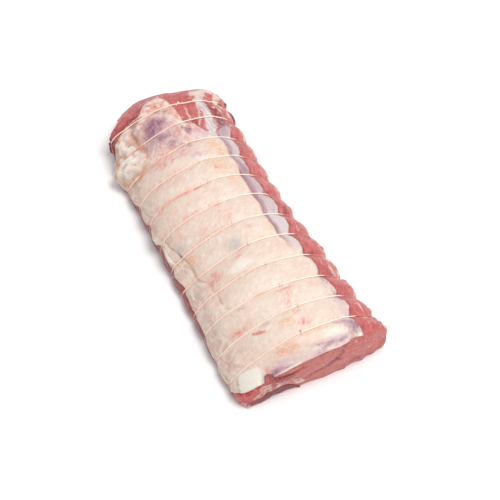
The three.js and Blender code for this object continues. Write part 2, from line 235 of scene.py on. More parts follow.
def lobes(u, v, size, seed):
    """Rounded knobs from 0 in the gaps to 1 on top: 1 minus the squared distance to the nearest point."""
    jitter = np.random.default_rng(seed).uniform(0.15, 0.85, (LATTICE, LATTICE, 2))
    cu, cv = np.floor(u / size).astype(int), np.floor(v / size).astype(int)
    nearest = np.full(np.shape(u), 9.0)
    for du, dv in np.ndindex(3, 3):
        iu, iv = cu + du - 1, cv + dv - 1
        point = jitter[iu % LATTICE, iv % LATTICE]
        away = (iu + point[..., 0] - u / size) ** 2 + (iv + point[..., 1] - v / size) ** 2
        nearest = np.minimum(nearest, away)
    return np.clip(1 - nearest, 0, 1)


def smooth(value, low, high):
    """0 below low, 1 above high, and an eased ramp between; low may be the larger."""
    t = np.clip((value - low) / (high - low), 0, 1)
    return t * t * (3 - 2 * t)


def bell(distance, radius):
    """1 at no distance, falling off as exp(-(distance / radius)^2)."""
    return np.exp(-((distance / radius) ** 2))


def dome(share):
    """A parabola: 1 halfway, and 0 where the share is 0 or 1."""
    return 1 - (2 * share - 1) ** 2


def turned(u, v, degrees):
    """Lengths along and across a direction that is turned by so many degrees from u."""
    cos, sin = math.cos(math.radians(degrees)), math.sin(math.radians(degrees))
    return u * cos + v * sin, v * cos - u * sin


def off_spot(y, angle, spot_y, spot_degrees):
    """Distance in millimetres, on the skin, from a spot given by its y and its angle in degrees."""
    return np.hypot(y - spot_y, (angle - math.radians(spot_degrees)) * MEAN_ARM)


print("noise reaches", round(float(np.abs(noise(np.arange(500.0), np.zeros(500), size=7)).max()), 2))

# %% [markdown]
# ## Twine grooves, and where the fat cap ends
#
# Each loop of twine bites in, and the meat swells between two loops like a row of pillows: deep on the bare
# lean at the right, shallow over the firm fat. The cap ends along an uneven line. Its distance inside that
# line, `inside_cap`, sets both its own thickness and how deep the lean lies below it, so the two always match.

# %% Relief shared by the pieces
GROOVE_DEPTH = [(0, 2.8), (35, 2.3), (60, 1.7), (100, 1.5), (150, 1.8), (180, 1.6), (210, 1.8), (235, 2.5),
    (330, 2.5), (360, 2.8)]
PILLOW_HEIGHT = [(0, 1.3), (35, 1), (60, 0.5), (100, 0.5), (150, 0.7), (180, 0.2), (210, 0.4), (235, 1.5),
    (330, 1.5), (360, 1.3)]
PILLOW_POWER = 2.6
GROOVE_SOFTNESS = 0.06
CAP_RIGHT_ANGLE = [(-166, 70), (-158, 66), (-149, 56), (-127, 47), (-110, 46), (-96, 48), (-73, 48),
    (-55, 50), (-31, 45), (-10, 43), (4, 45), (30, 46), (61, 42), (86, 38), (115, 32)]
CAP_LEFT_ANGLE = [(-166, 169), (-156, 176), (-148, 181), (-140, 183), (-125, 184), (-110, 182), (-100, 178),
    (-91, 169), (-81, 168), (-65, 166), (-47, 166), (-31, 167), (-14, 169), (-2, 167), (5, 168), (14, 176),
    (24, 174), (30, 173), (38, 177), (48, 174), (57, 173), (66, 179), (76, 185), (96, 190), (110, 190),
    (120, 186), (128, 170), (134, 160)]
CAP_FAR_LINE = [(-66, 112), (-60, 122), (-55, 128), (-47, 130), (-42, 132.5), (-36, 132), (-31, 135.5),
    (-24, 144), (-17, 146), (-9, 146.7), (-5, 138), (-2, 129), (-1, 121), (-0.5, 108), (1, 103), (6, 98.5),
    (11, 92), (17, 85), (22, 84), (28, 88), (36, 91), (45, 93)]
# Degrees by which the edge bulges to the right between two loops.
RIGHT_LOBE = [(-60, 3.2), (0, 2.2), (80, 1.2)]
RAGGED = 1.4  # millimetres by which the cap's edge wanders
FAT_THICKNESS = [(30, 2.8), (58, 3), (75, 6.5), (100, 9), (165, 9), (180, 7)]
NEAR_FAT_SHARE = [(-168, 1), (-150, 0.6), (-138, 0)]  # how far that gives way to the cut edge's thickness
CUT_EDGE_FAT = [(60, 0.4), (80, 1), (92, 1.6), (118, 1.8), (134, 1.8), (140, 2.8), (150, 2.4), (160, 2.2),
    (176, 2.2)]
CAP_FEATHER = 11.0
PIECE_GAP = 0.3
LIP_STEP, LIP_SLOPE = 2.5, 7.0


def off_loop(y):
    """Distance along y to the nearest place in the loops' even spacing."""
    return np.abs((y - FIRST_LOOP + PITCH / 2) % PITCH - PITCH / 2)


def pillow(y):
    """0 in the bottom of a groove, 1 on the pillow: 1 - (1 - share)^power, share counted to halfway."""
    nearest = np.clip(np.round((y - FIRST_LOOP) / PITCH), 0, LOOPS - 1)
    share = np.minimum(1, np.abs(y - FIRST_LOOP - nearest * PITCH) / (PITCH / 2))
    share = np.sqrt(share**2 + GROOVE_SOFTNESS**2) - GROOVE_SOFTNESS
    return 1 - (1 - np.clip(share, 0, 1)) ** PILLOW_POWER


def swell(y, angle):
    """Height of grooves and pillows: from -depth in a groove to the pillow's height between two."""
    degrees = np.degrees(angle) % 360
    depth = along(GROOVE_DEPTH, degrees)
    return (along(PILLOW_HEIGHT, degrees) + depth) * pillow(y) - depth


def cap_edges(y):
    """The angles of the cap's right and left edge at y, in radians."""
    wander = RAGGED / MEAN_ARM
    right = np.radians(along(CAP_RIGHT_ANGLE, y) + 1.5 - along(RIGHT_LOBE, y) * pillow(y))
    right = right + wander * rough_noise(y, size=9, seed=11)
    left = np.radians(along(CAP_LEFT_ANGLE, y)) + 2 * wander * rough_noise(y, size=14, seed=12)
    return right, left


def beyond_far_line(y, x):
    """How far past the cap's far line a place is, along y."""
    return y - along(CAP_FAR_LINE, x) - RAGGED * rough_noise(x, size=7, seed=13)


def inside_cap(y, angle):
    """Millimetres inside the cap's edge, negative where the lean is bare: the least of three distances."""
    right, left = cap_edges(y)
    beside = np.minimum((angle - right) * MEAN_ARM, (left - angle) * MEAN_ARM)
    return np.minimum(beside, -beyond_far_line(y, section(y, angle)[0]))


print("cap edges at the middle:", [round(math.degrees(float(a)), 1) for a in cap_edges(np.float64(0))])

# %% [markdown]
# ## From arrays to a mesh
#
# The lean, the cap and the flank muscle are each a body between two sheets: an upper and a lower grid of
# points that meet along both sides, with a face closing each end. One helper turns such a pair into a closed
# mesh. Points that fall together are merged afterwards, so seams close and no face is left without area.

# %% Mesh helpers
MERGE_DISTANCE = 2e-6


def grid_faces(rows, columns, first=0, turned=False):
    """Corner numbers of the quads of a rows by columns grid whose points start at first."""
    corner = first + np.arange(rows * columns).reshape(rows, columns)
    quads = np.stack([corner[:-1, :-1], corner[1:, :-1], corner[1:, 1:], corner[:-1, 1:]], -1).reshape(-1, 4)
    return quads[:, ::-1] if turned else quads


FIN_LAYERS = 12


def remove_fins(work):
    """Delete faces with an open edge, layer by layer: on a closed body they hang on it by one edge."""
    for layer in range(FIN_LAYERS):
        fins = {face for edge in work.edges if edge.is_boundary for face in edge.link_faces}
        if not fins:
            break
        bmesh.ops.delete(work, geom=list(fins), context="FACES")


def link(name, data):
    """A new object with the data, linked to the scene."""
    made = bpy.data.objects.new(name, data)
    bpy.context.scene.collection.objects.link(made)
    return made


def make_mesh(name, points, faces, marks, material):
    """An object in metres from points in millimetres; marks are named values, one for each point."""
    mesh = bpy.data.meshes.new(name)
    mesh.vertices.add(len(points))
    mesh.vertices.foreach_set("co", (points * MM).astype(np.float32).ravel())
    mesh.loops.add(faces.size)
    mesh.loops.foreach_set("vertex_index", faces.astype(np.int32).ravel())
    mesh.polygons.add(len(faces))
    mesh.polygons.foreach_set("loop_start", np.arange(0, faces.size, 4, dtype=np.int32))
    mesh.update(calc_edges=True)
    for mark, values in marks.items():
        attribute = mesh.attributes.new(mark, "FLOAT", "POINT")
        attribute.data.foreach_set("value", np.clip(values, 0, 1).astype(np.float32))
    work = bmesh.new()
    work.from_mesh(mesh)
    bmesh.ops.remove_doubles(work, verts=work.verts, dist=MERGE_DISTANCE)
    bmesh.ops.dissolve_degenerate(work, edges=work.edges, dist=MERGE_DISTANCE)
    remove_fins(work)
    work.to_mesh(mesh)
    work.free()
    mesh.validate()
    mesh.shade_smooth()
    mesh.materials.append(material)
    piece = link(name, mesh)
    print(name, len(mesh.vertices), "points,", len(mesh.polygons), "faces")
    return piece


def body_between(upper, lower, near_steps, far_steps, end_shape=None):
    """Points and quads of the closed body between two sheets of [rows, columns, channels] points.

    Each end is closed by a grid that runs from the upper sheet's edge down to the lower one's, moved by
    end_shape(points, share down, near) where that is given. Further channels than x, y and z are carried
    along, and a last one is added: 1 on an end face, 0 elsewhere.
    """
    rows, columns, depth = upper.shape
    parts = [(upper, False, 0), (lower, True, 0)]
    parts.append((np.stack([upper[:, 0], lower[:, 0]]), False, 0))
    parts.append((np.stack([upper[:, -1], lower[:, -1]]), True, 0))
    for row, steps, near in ((0, near_steps, True), (-1, far_steps, False)):
        share = np.linspace(0, 1, steps + 1)[:, None, None]
        sheet = upper[row] * (1 - share) + lower[row] * share
        if end_shape:
            sheet = end_shape(sheet, share[..., 0], near)
        parts.append((sheet, near, 1))
    points, faces, count = [], [], 0
    for sheet, turned, on_end in parts:
        flag = np.full(sheet.shape[:2] + (1,), float(on_end))
        points.append(np.concatenate([sheet, flag], -1).reshape(-1, depth + 1))
        faces.append(grid_faces(sheet.shape[0], sheet.shape[1], count, turned))
        count += sheet.shape[0] * sheet.shape[1]
    return np.concatenate(points), np.concatenate(faces)


def loop_rows(first, last, near_loop=0.65, between=1.75):
    """Places along y from first to last, close together at each loop of twine and wider apart between."""
    rows = [first]
    while rows[-1] < last:
        y = rows[-1]
        rows.append(y + near_loop + (between - near_loop) * (off_loop(y) / (PITCH / 2)))
    return np.array(rows[:-1] + [last])


print("rows along the roast:", len(loop_rows(NEAR_END, FAR_END)))

# %% [markdown]
# ## Layered colour
#
# Meat and fat get their look from many faint layers: blood under fat, membrane over muscle, fine grain. Each
# material starts from a base colour and lays others over it. A layer's share comes from a mark, which is a
# value that a piece's mesh carries at every point, broken up by procedural noise.

# %% Shader helpers
SURFACE_SHARE = 0.86  # the studio light is a little brighter than 1, so a surface gives back this much less


def rgb(red, green, blue, share=SURFACE_SHARE):
    """A colour as it looks in the light, 0 to 255, as the linear values that shaders use, times the share."""
    channels = [c / 255 for c in (red, green, blue)]
    linear = [c / 12.92 if c <= 0.04045 else ((c + 0.055) / 1.055) ** 2.4 for c in channels]
    return tuple(share * c for c in linear) + (1.0,)


class Layers:
    """A node tree that is built up one layer at a time."""

    def __init__(self, tree):
        self.tree = tree

    def node(self, kind, inputs=None, **settings):
        made = self.tree.nodes.new(kind)
        for key, value in settings.items():
            setattr(made, key, value)
        for key, value in (inputs or {}).items():
            if isinstance(value, bpy.types.NodeSocket):
                self.tree.links.new(value, made.inputs[key])
            else:
                made.inputs[key].default_value = value
        return made

    def mark(self, name):
        return self.node("ShaderNodeAttribute", attribute_name=name).outputs["Fac"]

    def place(self):
        return self.node("ShaderNodeTexCoord").outputs["Object"]

    def stretched(self, scale, turn=(0, 0, 0)):
        """Object coordinates, turned and then scaled along each axis."""
        turned = self.node("ShaderNodeMapping", {"Vector": self.place(), "Rotation": turn}).outputs[0]
        return self.node("ShaderNodeVectorMath", {0: turned, 1: scale}, operation="MULTIPLY").outputs[0]

    def noise(self, size_mm, detail=3.0, roughness=0.5, vector=None, bend=0.0):
        wanted = {"Vector": vector or self.place(), "Scale": 1 / (size_mm * MM), "Detail": detail,
                  "Roughness": roughness, "Distortion": bend}
        return self.node("ShaderNodeTexNoise", wanted).outputs["Fac"]

    def ramp(self, value, low, high, to_low=0.0, to_high=1.0):
        wanted = {"Value": value, "From Min": low, "From Max": high, "To Min": to_low, "To Max": to_high}
        return self.node("ShaderNodeMapRange", wanted, interpolation_type="SMOOTHSTEP").outputs[0]

    def sum(self, a, b, operation="ADD"):
        return self.node("ShaderNodeMath", {0: a, 1: b}, operation=operation).outputs[0]

    def times(self, a, b):
        return self.sum(a, b, "MULTIPLY")

    def over(self, below, colour, share):
        """The colour laid over what is below, by its share."""
        made = self.node("ShaderNodeMix", {0: share, 6: below, 7: colour}, data_type="RGBA")
        return made.outputs[2]

    def lay(self, below, rows):
        """Colours laid over what is below, one after another: rows of colour, share and amount."""
        for colour, share, amount in rows:
            below = self.over(below, colour, self.times(share, amount))
        return below

    def bump(self, height, distance_mm, strength=1.0, normal=None):
        wanted = {"Height": height, "Distance": distance_mm * MM, "Strength": strength}
        if normal:
            wanted["Normal"] = normal
        return self.node("ShaderNodeBump", wanted).outputs[0]

    def mottled(self, size_mm, contrast):
        wanted = {"Size mm": size_mm, "Contrast": contrast}
        return self.node("ShaderNodeGroup", wanted, node_tree=MOTTLE).outputs[0]

    def broken(self, mark, size_mm, ragged, sharp):
        wanted = {"Mark": self.mark(mark), "Size mm": size_mm, "Raggedness": ragged, "Sharpness": sharp}
        return self.node("ShaderNodeGroup", wanted, node_tree=BROKEN_EDGE).outputs[0]

    def feed(self, shader, **sockets):
        """Link each output to the shader's input of that name, or set the input to the value."""
        for key, value in sockets.items():
            socket = shader.inputs[key.replace("_", " ")]
            if isinstance(value, bpy.types.NodeSocket):
                self.tree.links.new(value, socket)
            else:
                socket.default_value = value


def new_material(name):
    """An empty material with a Principled BSDF, and the Layers that will feed it."""
    material = bpy.data.materials.new(name)
    material.use_nodes = True
    material.node_tree.nodes.clear()
    layers = Layers(material.node_tree)
    shader = layers.node("ShaderNodeBsdfPrincipled")
    layers.node("ShaderNodeOutputMaterial", {"Surface": shader.outputs[0]})
    return material, layers, shader


# %% [markdown]
# Two effects are used by more than one material, so each is a node group. `mottle` gives cloudy variation,
# and `broken edge` roughens a soft mark so that a stain ends in an irregular line instead of a smooth haze.

# %% Shared effects
def new_group(name, inputs, outputs):
    group = bpy.data.node_groups.new(name, "ShaderNodeTree")
    for label, value in inputs:
        group.interface.new_socket(label, in_out="INPUT", socket_type="NodeSocketFloat").default_value = value
    for label in outputs:
        group.interface.new_socket(label, in_out="OUTPUT", socket_type="NodeSocketFloat")
    layers = Layers(group)
    return group, layers, layers.node("NodeGroupInput"), layers.node("NodeGroupOutput")


def cloud_in_group(layers, given, strength, gain, detail, roughness, bend):
    """Noise of the given Size mm, centred on 0 and multiplied by a gain and by the input named strength."""
    scale = layers.sum(1 / MM, given.outputs["Size mm"], "DIVIDE")
    wanted = {"Vector": layers.place(), "Scale": scale, "Detail": detail, "Roughness": roughness,
              "Distortion": bend}
    cloud = layers.node("ShaderNodeTexNoise", wanted).outputs["Fac"]
    return layers.times(layers.sum(cloud, 0.5, "SUBTRACT"), layers.times(given.outputs[strength], gain))


def mottle_group():
    """Clouds: coarse and fine noise added, and pushed apart round the middle by Contrast."""
    group, layers, given, result = new_group("mottle", [("Size mm", 10.0), ("Contrast", 1.0)], ["Value"])
    pushed = cloud_in_group(layers, given, "Contrast", 2.2, 5.0, 0.58, 0.3)
    centred = layers.node("ShaderNodeMath", {0: pushed, 1: 0.5}, operation="ADD", use_clamp=True).outputs[0]
    layers.tree.links.new(centred, result.inputs["Value"])
    return group


def broken_edge_group():
    """A mark with fine noise added while it is neither full nor empty, then steepened."""
    inputs = [("Mark", 0.0), ("Size mm", 3.0), ("Raggedness", 0.5), ("Sharpness", 0.25)]
    group, layers, given, result = new_group("broken edge", inputs, ["Share"])
    mark, sharpness = given.outputs["Mark"], given.outputs["Sharpness"]
    rough = layers.sum(mark, cloud_in_group(layers, given, "Raggedness", 2.0, 4.0, 0.6, 0.6))
    share = layers.ramp(rough, layers.sum(0.5, sharpness, "SUBTRACT"), layers.sum(0.5, sharpness))
    kept = layers.times(share, layers.ramp(mark, 0.0, 0.12))
    layers.tree.links.new(kept, result.inputs["Share"])
    return group


MOTTLE = mottle_group()
BROKEN_EDGE = broken_edge_group()
print("node groups:", [g.name for g in bpy.data.node_groups])

# %% [markdown]
# ## The fat cap: its relief
#
# The cap is 3 to 9 mm of firm, cream-coloured fat. It is nearly smooth over the crown, folded on the left
# shoulder, and gathered into knobs at the far left. Furrows run down the left side where the cap folds over.
# All of that is height above the section, as a function of `y` and the angle.

# %% Relief of the fat
LUMPS = [(99, 166, 5, 10), (86, 150, 3.5, 9), (106, 147, 3, 9), (119, 160, 3, 8), (96, 132, -2.5, 6),
    (112, 138, -3.5, 7), (121, 126, -2.5, 7), (-158, 133, -2.5, 8), (8, 160, 2.5, 9)]
CREASE_LINE = [(-96, 130), (-83, 136), (-57, 141), (-46, 148), (-20, 152), (1, 158)]
CREASE_DEPTH, CREASE_WIDTH = 2.2, 6.0
# Knobs of fat as [y, angle in degrees, radius, height]: a cluster at the far left, and folds at the far rim.
KNOBS = [(111, 150.5, 4.2, 3), (106, 144, 4.4, 3.2), (99, 146, 4.6, 3.4), (94, 135.5, 4.4, 2.8),
    (87, 137.5, 4.2, 3), (93, 144.5, 4.4, 3.8), (98, 153.5, 3.8, 3.4), (87, 151.5, 5.2, 4),
    (84, 145, 3.6, 2.8), (108, 175, 5, 3.4), (101, 167, 4.2, 3.2), (92, 160, 4.4, 3.2), (84, 159, 3.6, 2.6),
    (79, 151, 2.8, 1.8), (96, 176, 5, 2.8), (89, 169, 4.6, 2.6), (104, 158.5, 3.6, 2.8), (117, 151, 4, 2.6),
    (121, 159, 4.2, 2.8), (124, 150, 4.4, 2.6), (128, 143, 4.4, 2.2), (120, 144, 3.6, 1.8),
    (114, 166, 4, 2.6), (100, 138, 3, 2), (89, 131.5, 2.6, 1.4)]
KNOB_GROUND = [(100, 147, 15, 1.5), (88, 158, 13, 1.3), (105, 166, 12, 1.2), (120, 150, 9, 1.0)]
KNOB_PATCH = (100, 153, 30, 27)  # where the knobs are: y, angle, half length, half width in degrees
NODULE_SIZE = 4.3
FOLDS = [(141, 95, 3.2, 1.7), (140, 89.5, 3, 1.8), (133.5, 85, 3, 1.4), (130, 78, 3, 1.4),
    (124, 74, 3.2, 1.3), (115, 78, 3.4, 1.1), (141, 102, 3, 1.5), (136, 108, 3, 1.3), (134, 96, 2.6, 1.2),
    (128, 90, 2.8, 0.9), (131, 115, 3, 1.3), (127, 121, 3.5, 1.4), (122, 128, 3.2, 1.2), (119, 134, 3, 1.4),
    (111, 84, 3.2, 1), (104, 80, 2.8, 1), (98, 76, 3.2, 0.9), (125, 109, 4, 0.7), (117, 94, 4, 0.6),
    (68, 105, 4, 0.8), (60, 95, 4, 0.7), (72, 98, 3, 0.7), (66, 113, 3, 0.6), (76, 108, 3.2, 0.6),
    (80, 120, 3.5, 0.6), (-162, 168, 4, 1.6), (-156, 166, 4.5, 1.4), (-150, 164, 4, 1.2),
    (-141, 160, 4, 1.2), (-145, 170, 4, 1), (-136, 152, 4, 0.9), (-132, 165, 4, 0.9)]
# Furrows as [stops of y and angle, width, depth]: the edge of the knobs, and folds down the left side.
FURROWS = [([(82, 139), (86, 134), (92, 131), (98, 132.5), (108, 137), (118, 138), (128, 137)], 1.8, 2.6),
    ([(-97, 127), (-93, 131), (-84, 135), (-75, 136), (-67, 138.5), (-59, 140), (-46, 147.5)], 0.8, 1.3),
    ([(-50, 147), (-30, 147.5), (-21, 149), (-14, 151.5), (-1, 155.5), (5, 160)], 0.9, 1.7),
    ([(-27, 157.5), (-14, 161), (-2, 160.5)], 0.8, 1.2), ([(-80, 152), (-66, 155), (-50, 156)], 0.7, 0.8),
    ([(-116, 146), (-104, 149)], 0.8, 0.8), ([(-92, 156), (-82, 163)], 0.7, 0.8),
    ([(-60, 148), (-50, 152), (-38, 152)], 0.7, 0.8), ([(-150, 166), (-138, 172), (-124, 174)], 0.8, 0.9),
    ([(8, 166), (24, 163), (44, 162)], 0.9, 0.9), ([(-144, 150), (-134, 158)], 0.8, 0.8),
    ([(-106, 128), (-98, 135), (-90, 139)], 0.8, 0.8), ([(-40, 156), (-28, 153)], 0.7, 0.7)]
# Rolls of fat, raised, as [stops of y and angle, width, height].
ROLLS = [([(1, 160), (8, 165), (16, 169)], 3.2, 2.6), ([(-28, 160), (-14, 163), (-2, 162)], 1.9, 2),
    ([(-74, 158), (-62, 159), (-44, 160)], 2.4, 1.2), ([(22, 168), (34, 172), (48, 168)], 1.6, 1),
    ([(-84, 146), (-70, 147), (-56, 150)], 3, 0.9), ([(-110, 164), (-100, 168), (-90, 164)], 2.5, 0.9)]
FOLDED_SIZE, FOLDED_STRETCH = 4.4, 1.7  # folds of the loose fat: their width, and length in widths
# The smooth white block at the near left: y, angle, half length, half width, and its turn in degrees.
BLOCK = (-158.5, 150, 9.4, 7.3, 156)
BLOCK_SQUARENESS = 6
# The straight cut below the block: y, angle, and y gained with each degree.
BLOCK_CUT = (-166.4, 140, 0.2)
LINE_WAVE = 1.2  # millimetres by which furrows, rolls and sinews wander off their line


def lumps(y, angle):
    """Broad lumps and dents, each a bell of height round its middle."""
    total = 0
    for lump_y, lump_angle, height, radius in LUMPS:
        total = total + height * bell(off_spot(y, angle, lump_y, lump_angle), radius)
    return total


def line_share(y, angle, stops, width):
    """1 on the line through the stops and 0 away from it, fading out past both of its ends."""
    first, last = stops[0][0], stops[-1][0]
    fade = smooth(y, first - 4, first + 6) * smooth(y, last + 4, last - 6)
    arc = angle * MEAN_ARM
    wave = LINE_WAVE * rough_noise(y, arc, size=6, seed=15)
    return fade * bell(arc - np.radians(along(stops, y)) * MEAN_ARM + wave, width)


def knobs(y, angle, places):
    """The highest of the domes at a place, each with a round top and a sharp foot."""
    top = np.zeros(np.broadcast(y, angle).shape)
    for knob_y, knob_angle, radius, height in places:
        away = off_spot(y, angle, knob_y, knob_angle) / radius
        top = np.maximum(top, height * np.clip(1 - away**2, 0, 1) ** 0.6)
    return top


def knob_share(y, angle):
    """1 among the knobs of fat at the far left, 0 away from them."""
    patch_y, patch_angle, length, width = KNOB_PATCH
    return smooth(np.hypot((y - patch_y) / length, (np.degrees(angle) - patch_angle) / width), 1, 0.75)


def nodules(y, angle):
    """Small rounded grains that cover the knobs, 1 on top of a grain and 0 in the gaps."""
    arc = angle * MEAN_ARM
    drift = rough_noise(y, arc, size=5, seed=30)
    return lobes(y + 1.2 * drift, arc + 0.4 * y, NODULE_SIZE, 29)


def form(y, angle):
    """The broad form that fat and lean share: lumps and the long crease, between the grooves."""
    stops = CREASE_LINE
    fade = np.clip((y - stops[0][0]) / PITCH, 0, 1) * np.clip((stops[-1][0] - y) / PITCH, 0, 1)
    crease = -CREASE_DEPTH * fade * bell((angle - np.radians(along(stops, y))) * MEAN_ARM, CREASE_WIDTH)
    return pillow(y) * (lumps(y, angle) + crease)


def loose_share(y, angle):
    """How loose and folded the fat is: fully down the left side, and a little over the near left."""
    degrees = np.degrees(angle)
    left = smooth(degrees, 138, 156)
    near = 0.35 * smooth(y, -115, -145) * smooth(degrees, 95, 112)
    return np.clip(left + near, 0, 1)


def block_reach(y, angle):
    """Distance from the white block's middle: 1 on its rounded, four-cornered outline."""
    block_y, block_angle, length, width, turn = BLOCK
    u, v = turned(y - block_y, (angle - math.radians(block_angle)) * MEAN_ARM, turn)
    power = BLOCK_SQUARENESS
    return (np.abs(u / length) ** power + np.abs(v / width) ** power) ** (1 / power)


def folds_of_fat(y, angle):
    """Long folds: each a ridge, 1 minus the size of noise, bent by slower noise and drawn out lengthwise."""
    arc = angle * MEAN_ARM
    bend = 5 * rough_noise(y, arc, size=11, seed=20)
    long_way = (y * 0.92 + arc * 0.4) / FOLDED_STRETCH
    broad = 1 - np.abs(noise(long_way, arc * 0.92 - y * 0.4 + bend, size=FOLDED_SIZE, seed=22))
    thin = 1 - np.abs(noise(long_way * 1.3, arc + 1.4 * bend, size=FOLDED_SIZE / 2, seed=23))
    patches = smooth(rough_noise(y, arc, size=13, seed=28), -0.5, 0.5)
    return (broad**3 + 0.6 * thin**2 - 0.8) * (0.4 + 0.9 * patches)


def furrow_depth(y, angle):
    """Depth of the furrows, which grow deeper and shallower along their run."""
    uneven = 0.4 + 0.6 * smooth(rough_noise(y, angle * MEAN_ARM, size=8, seed=34), -0.35, 0.3)
    return uneven * sum(depth * line_share(y, angle, stops, width) for stops, width, depth in FURROWS)


def fat_relief(y, angle):
    """Fine height of the fat: rolling, strands, wrinkles, folds, furrows, rolls and knobs added together."""
    arc = angle * MEAN_ARM
    drift = 5 * rough_noise(y, arc, size=30, seed=19)
    height = 0.7 * rough_noise(y, arc, size=20, seed=21)
    strand = rough_noise(y * 0.95 - arc * 0.3, (arc * 0.95 + y * 0.3) / 4, size=2.6, seed=26)
    height = height + 0.3 * strand + 0.25 * rough_noise(y, arc, size=6, seed=27)
    height = height + 0.8 * loose_share(y, angle) * folds_of_fat(y, angle)
    slant, across = y * 0.5 + arc * 0.85, y * 0.85 - arc * 0.5
    wrinkle = (1 - np.abs(noise(slant / 3, across + drift, size=6, seed=24))) ** 7
    height = height - 0.35 * wrinkle * smooth(rough_noise(y, arc, size=25, seed=25), -0.2, 0.4)
    height = height - furrow_depth(y, angle)
    for stops, width, rise in ROLLS:
        height = height + rise * line_share(y, angle, stops, width)
    reach = block_reach(y, angle)
    height = height * smooth(reach, 0.9, 1.1) + 0.9 * smooth(reach, 1.04, 0.96)
    clustered = knobs(y, angle, KNOBS + KNOB_GROUND) + 1.5 * (nodules(y, angle) - 0.7) * knob_share(y, angle)
    bumpy = height + clustered + knobs(y, angle, FOLDS) * (1 + 0.4 * strand)
    return bumpy * (0.25 + 0.75 * pillow(y))


# %% [markdown]
# ### The cap's mesh
#
# The outer sheet lies on the relief and the inner sheet a fat's thickness below. Their rows stand at fixed
# `y`, crowded near the twine. Their columns run from the right edge to the left edge of the cap, and each
# column stops where it meets the far line, or the notch at the near end. So the mesh ends exactly on the
# uneven edge, however fine or coarse it is.

# %% Sheets of the cap
CAP_COLUMNS = 176
CAP_FAR_LIMIT = 152.0
EDGE_DROP, EDGE_CURL = 0.35, 1.2
FLAP_THICKNESS, FLAP_POWER = 12.0, 3.0
FLAP_MIDDLE_X = [(-168, -36), (-150, -42), (-60, -40), (20, -42), (90, -43), (166, -40)]
FLAP_HALF_WIDTH = [(-168, 25), (-150, 32), (-60, 34), (20, 32), (90, 34), (166, 33)]
NOTCH = (-168.5, 136.5, 7.5, 2.6)  # the bite out of the cap at the cut face: y, angle, length, half width
NEAR_WAVE, NEAR_BAY = 0.6, 1.8  # how far the near edge winds, and how far it stands back in a bay
NEAR_BAY_ANGLE, NEAR_BAY_WIDTH = 78, 7
CUT_CLEAR = 9  # keeps the straight cut below the block away from angles short of it


def notch_distance(y, angle):
    """Millimetres outside the oval notch, negative in it."""
    notch_y, notch_angle, length, half_width = NOTCH
    away = np.hypot((y - notch_y) / length, (angle - math.radians(notch_angle)) * MEAN_ARM / half_width)
    return (away - 1) * half_width


def near_line(angle):
    """Where the cap starts at the near end: just behind the cut face, in waves, and behind the notch."""
    notch_y, notch_angle, length, half_width = NOTCH
    cut_y, cut_angle, slant = BLOCK_CUT
    degrees = np.degrees(angle)
    waves = NEAR_WAVE * rough_noise(angle * MEAN_ARM, size=5, seed=17)
    waves = waves + NEAR_BAY * bell((degrees - NEAR_BAY_ANGLE) / NEAR_BAY_WIDTH, 1)
    waves = waves * smooth(degrees, 138, 132)
    before_cut = CUT_CLEAR * (angle < math.radians(cut_angle))
    waves = np.maximum(waves, cut_y + slant * (degrees - cut_angle) - NEAR_END - before_cut)
    across = (angle - math.radians(notch_angle)) * MEAN_ARM / half_width
    notch = notch_y + length * np.sqrt(np.clip(1 - across**2, 0, 1))
    return np.maximum(NEAR_END + np.maximum(waves, 0), notch)


def cap_inside(y, angle):
    return np.minimum(inside_cap(y, angle), notch_distance(y, angle))


def cap_depth(y, angle):
    """Thickness of the cap: its full thickness there times an eased ramp in from the edge."""
    cut = along(NEAR_FAT_SHARE, y)
    full = along(FAT_THICKNESS, np.degrees(angle)) * (1 - cut) + along(CUT_EDGE_FAT, np.degrees(angle)) * cut
    return full * np.tanh(np.maximum(cap_inside(y, angle), 0) / CAP_FEATHER)


def cap_places():
    """y and angle of every point of a sheet: rows at fixed y, columns between the cap's two side edges."""
    rows = loop_rows(NEAR_END, CAP_FAR_LIMIT)
    share = np.linspace(0, 1, CAP_COLUMNS)
    y, s = np.meshgrid(rows, share, indexing="ij")
    right, left = cap_edges(y)
    angle = right + (left - right) * s
    past = beyond_far_line(y, section(y, angle)[0])
    first = np.argmax(past > 0, axis=0)
    column = np.arange(CAP_COLUMNS)
    before, after = past[first - 1, column], past[first, column]
    end = rows[first - 1] + (rows[first] - rows[first - 1]) * before / (before - after)
    y = np.minimum(y, end)
    y = np.maximum(y, near_line(angle))
    right, left = cap_edges(y)
    return y, right + (left - right) * s


def curl(inside):
    """How far the cap's edge curls down, at a distance inside it."""
    return EDGE_DROP * np.exp(-np.maximum(inside, 0) / EDGE_CURL)


def cap_top(y, angle):
    """Height of the cap's outer sheet above the section, its edge curled down."""
    inside = cap_inside(y, angle)
    return swell(y, angle) + form(y, angle) + fat_relief(y, angle) * smooth(inside, 0, 4) - curl(inside)


def cap_foot(y, angle):
    """Height of its inner sheet: the thickness below, without the fine relief."""
    return swell(y, angle) + form(y, angle) - cap_depth(y, angle) - curl(cap_inside(y, angle))


def flap_top(y, x):
    """Height of the flank muscle's top: thickness * (1 - |share|^power), share counted in half widths."""
    share = (x - along(FLAP_MIDDLE_X, y)) / along(FLAP_HALF_WIDTH, y)
    return FLAP_THICKNESS * (1 - np.abs(share) ** FLAP_POWER)


def above_flap(points, y):
    """The points lifted to stand half a gap clear of the flank muscle."""
    floor_z = flap_top(y, points[..., 0]) + PIECE_GAP / 2
    lifted = np.maximum(points[..., 2], floor_z)
    points[..., 1] += bent_y(y, points[..., 0], lifted) - bent_y(y, points[..., 0], points[..., 2])
    points[..., 2] = lifted
    return points


def channels(y, angle, height):
    """Points with their y and angle kept as two more channels."""
    return np.concatenate([surface(y, angle, height), y[..., None], angle[..., None]], -1)


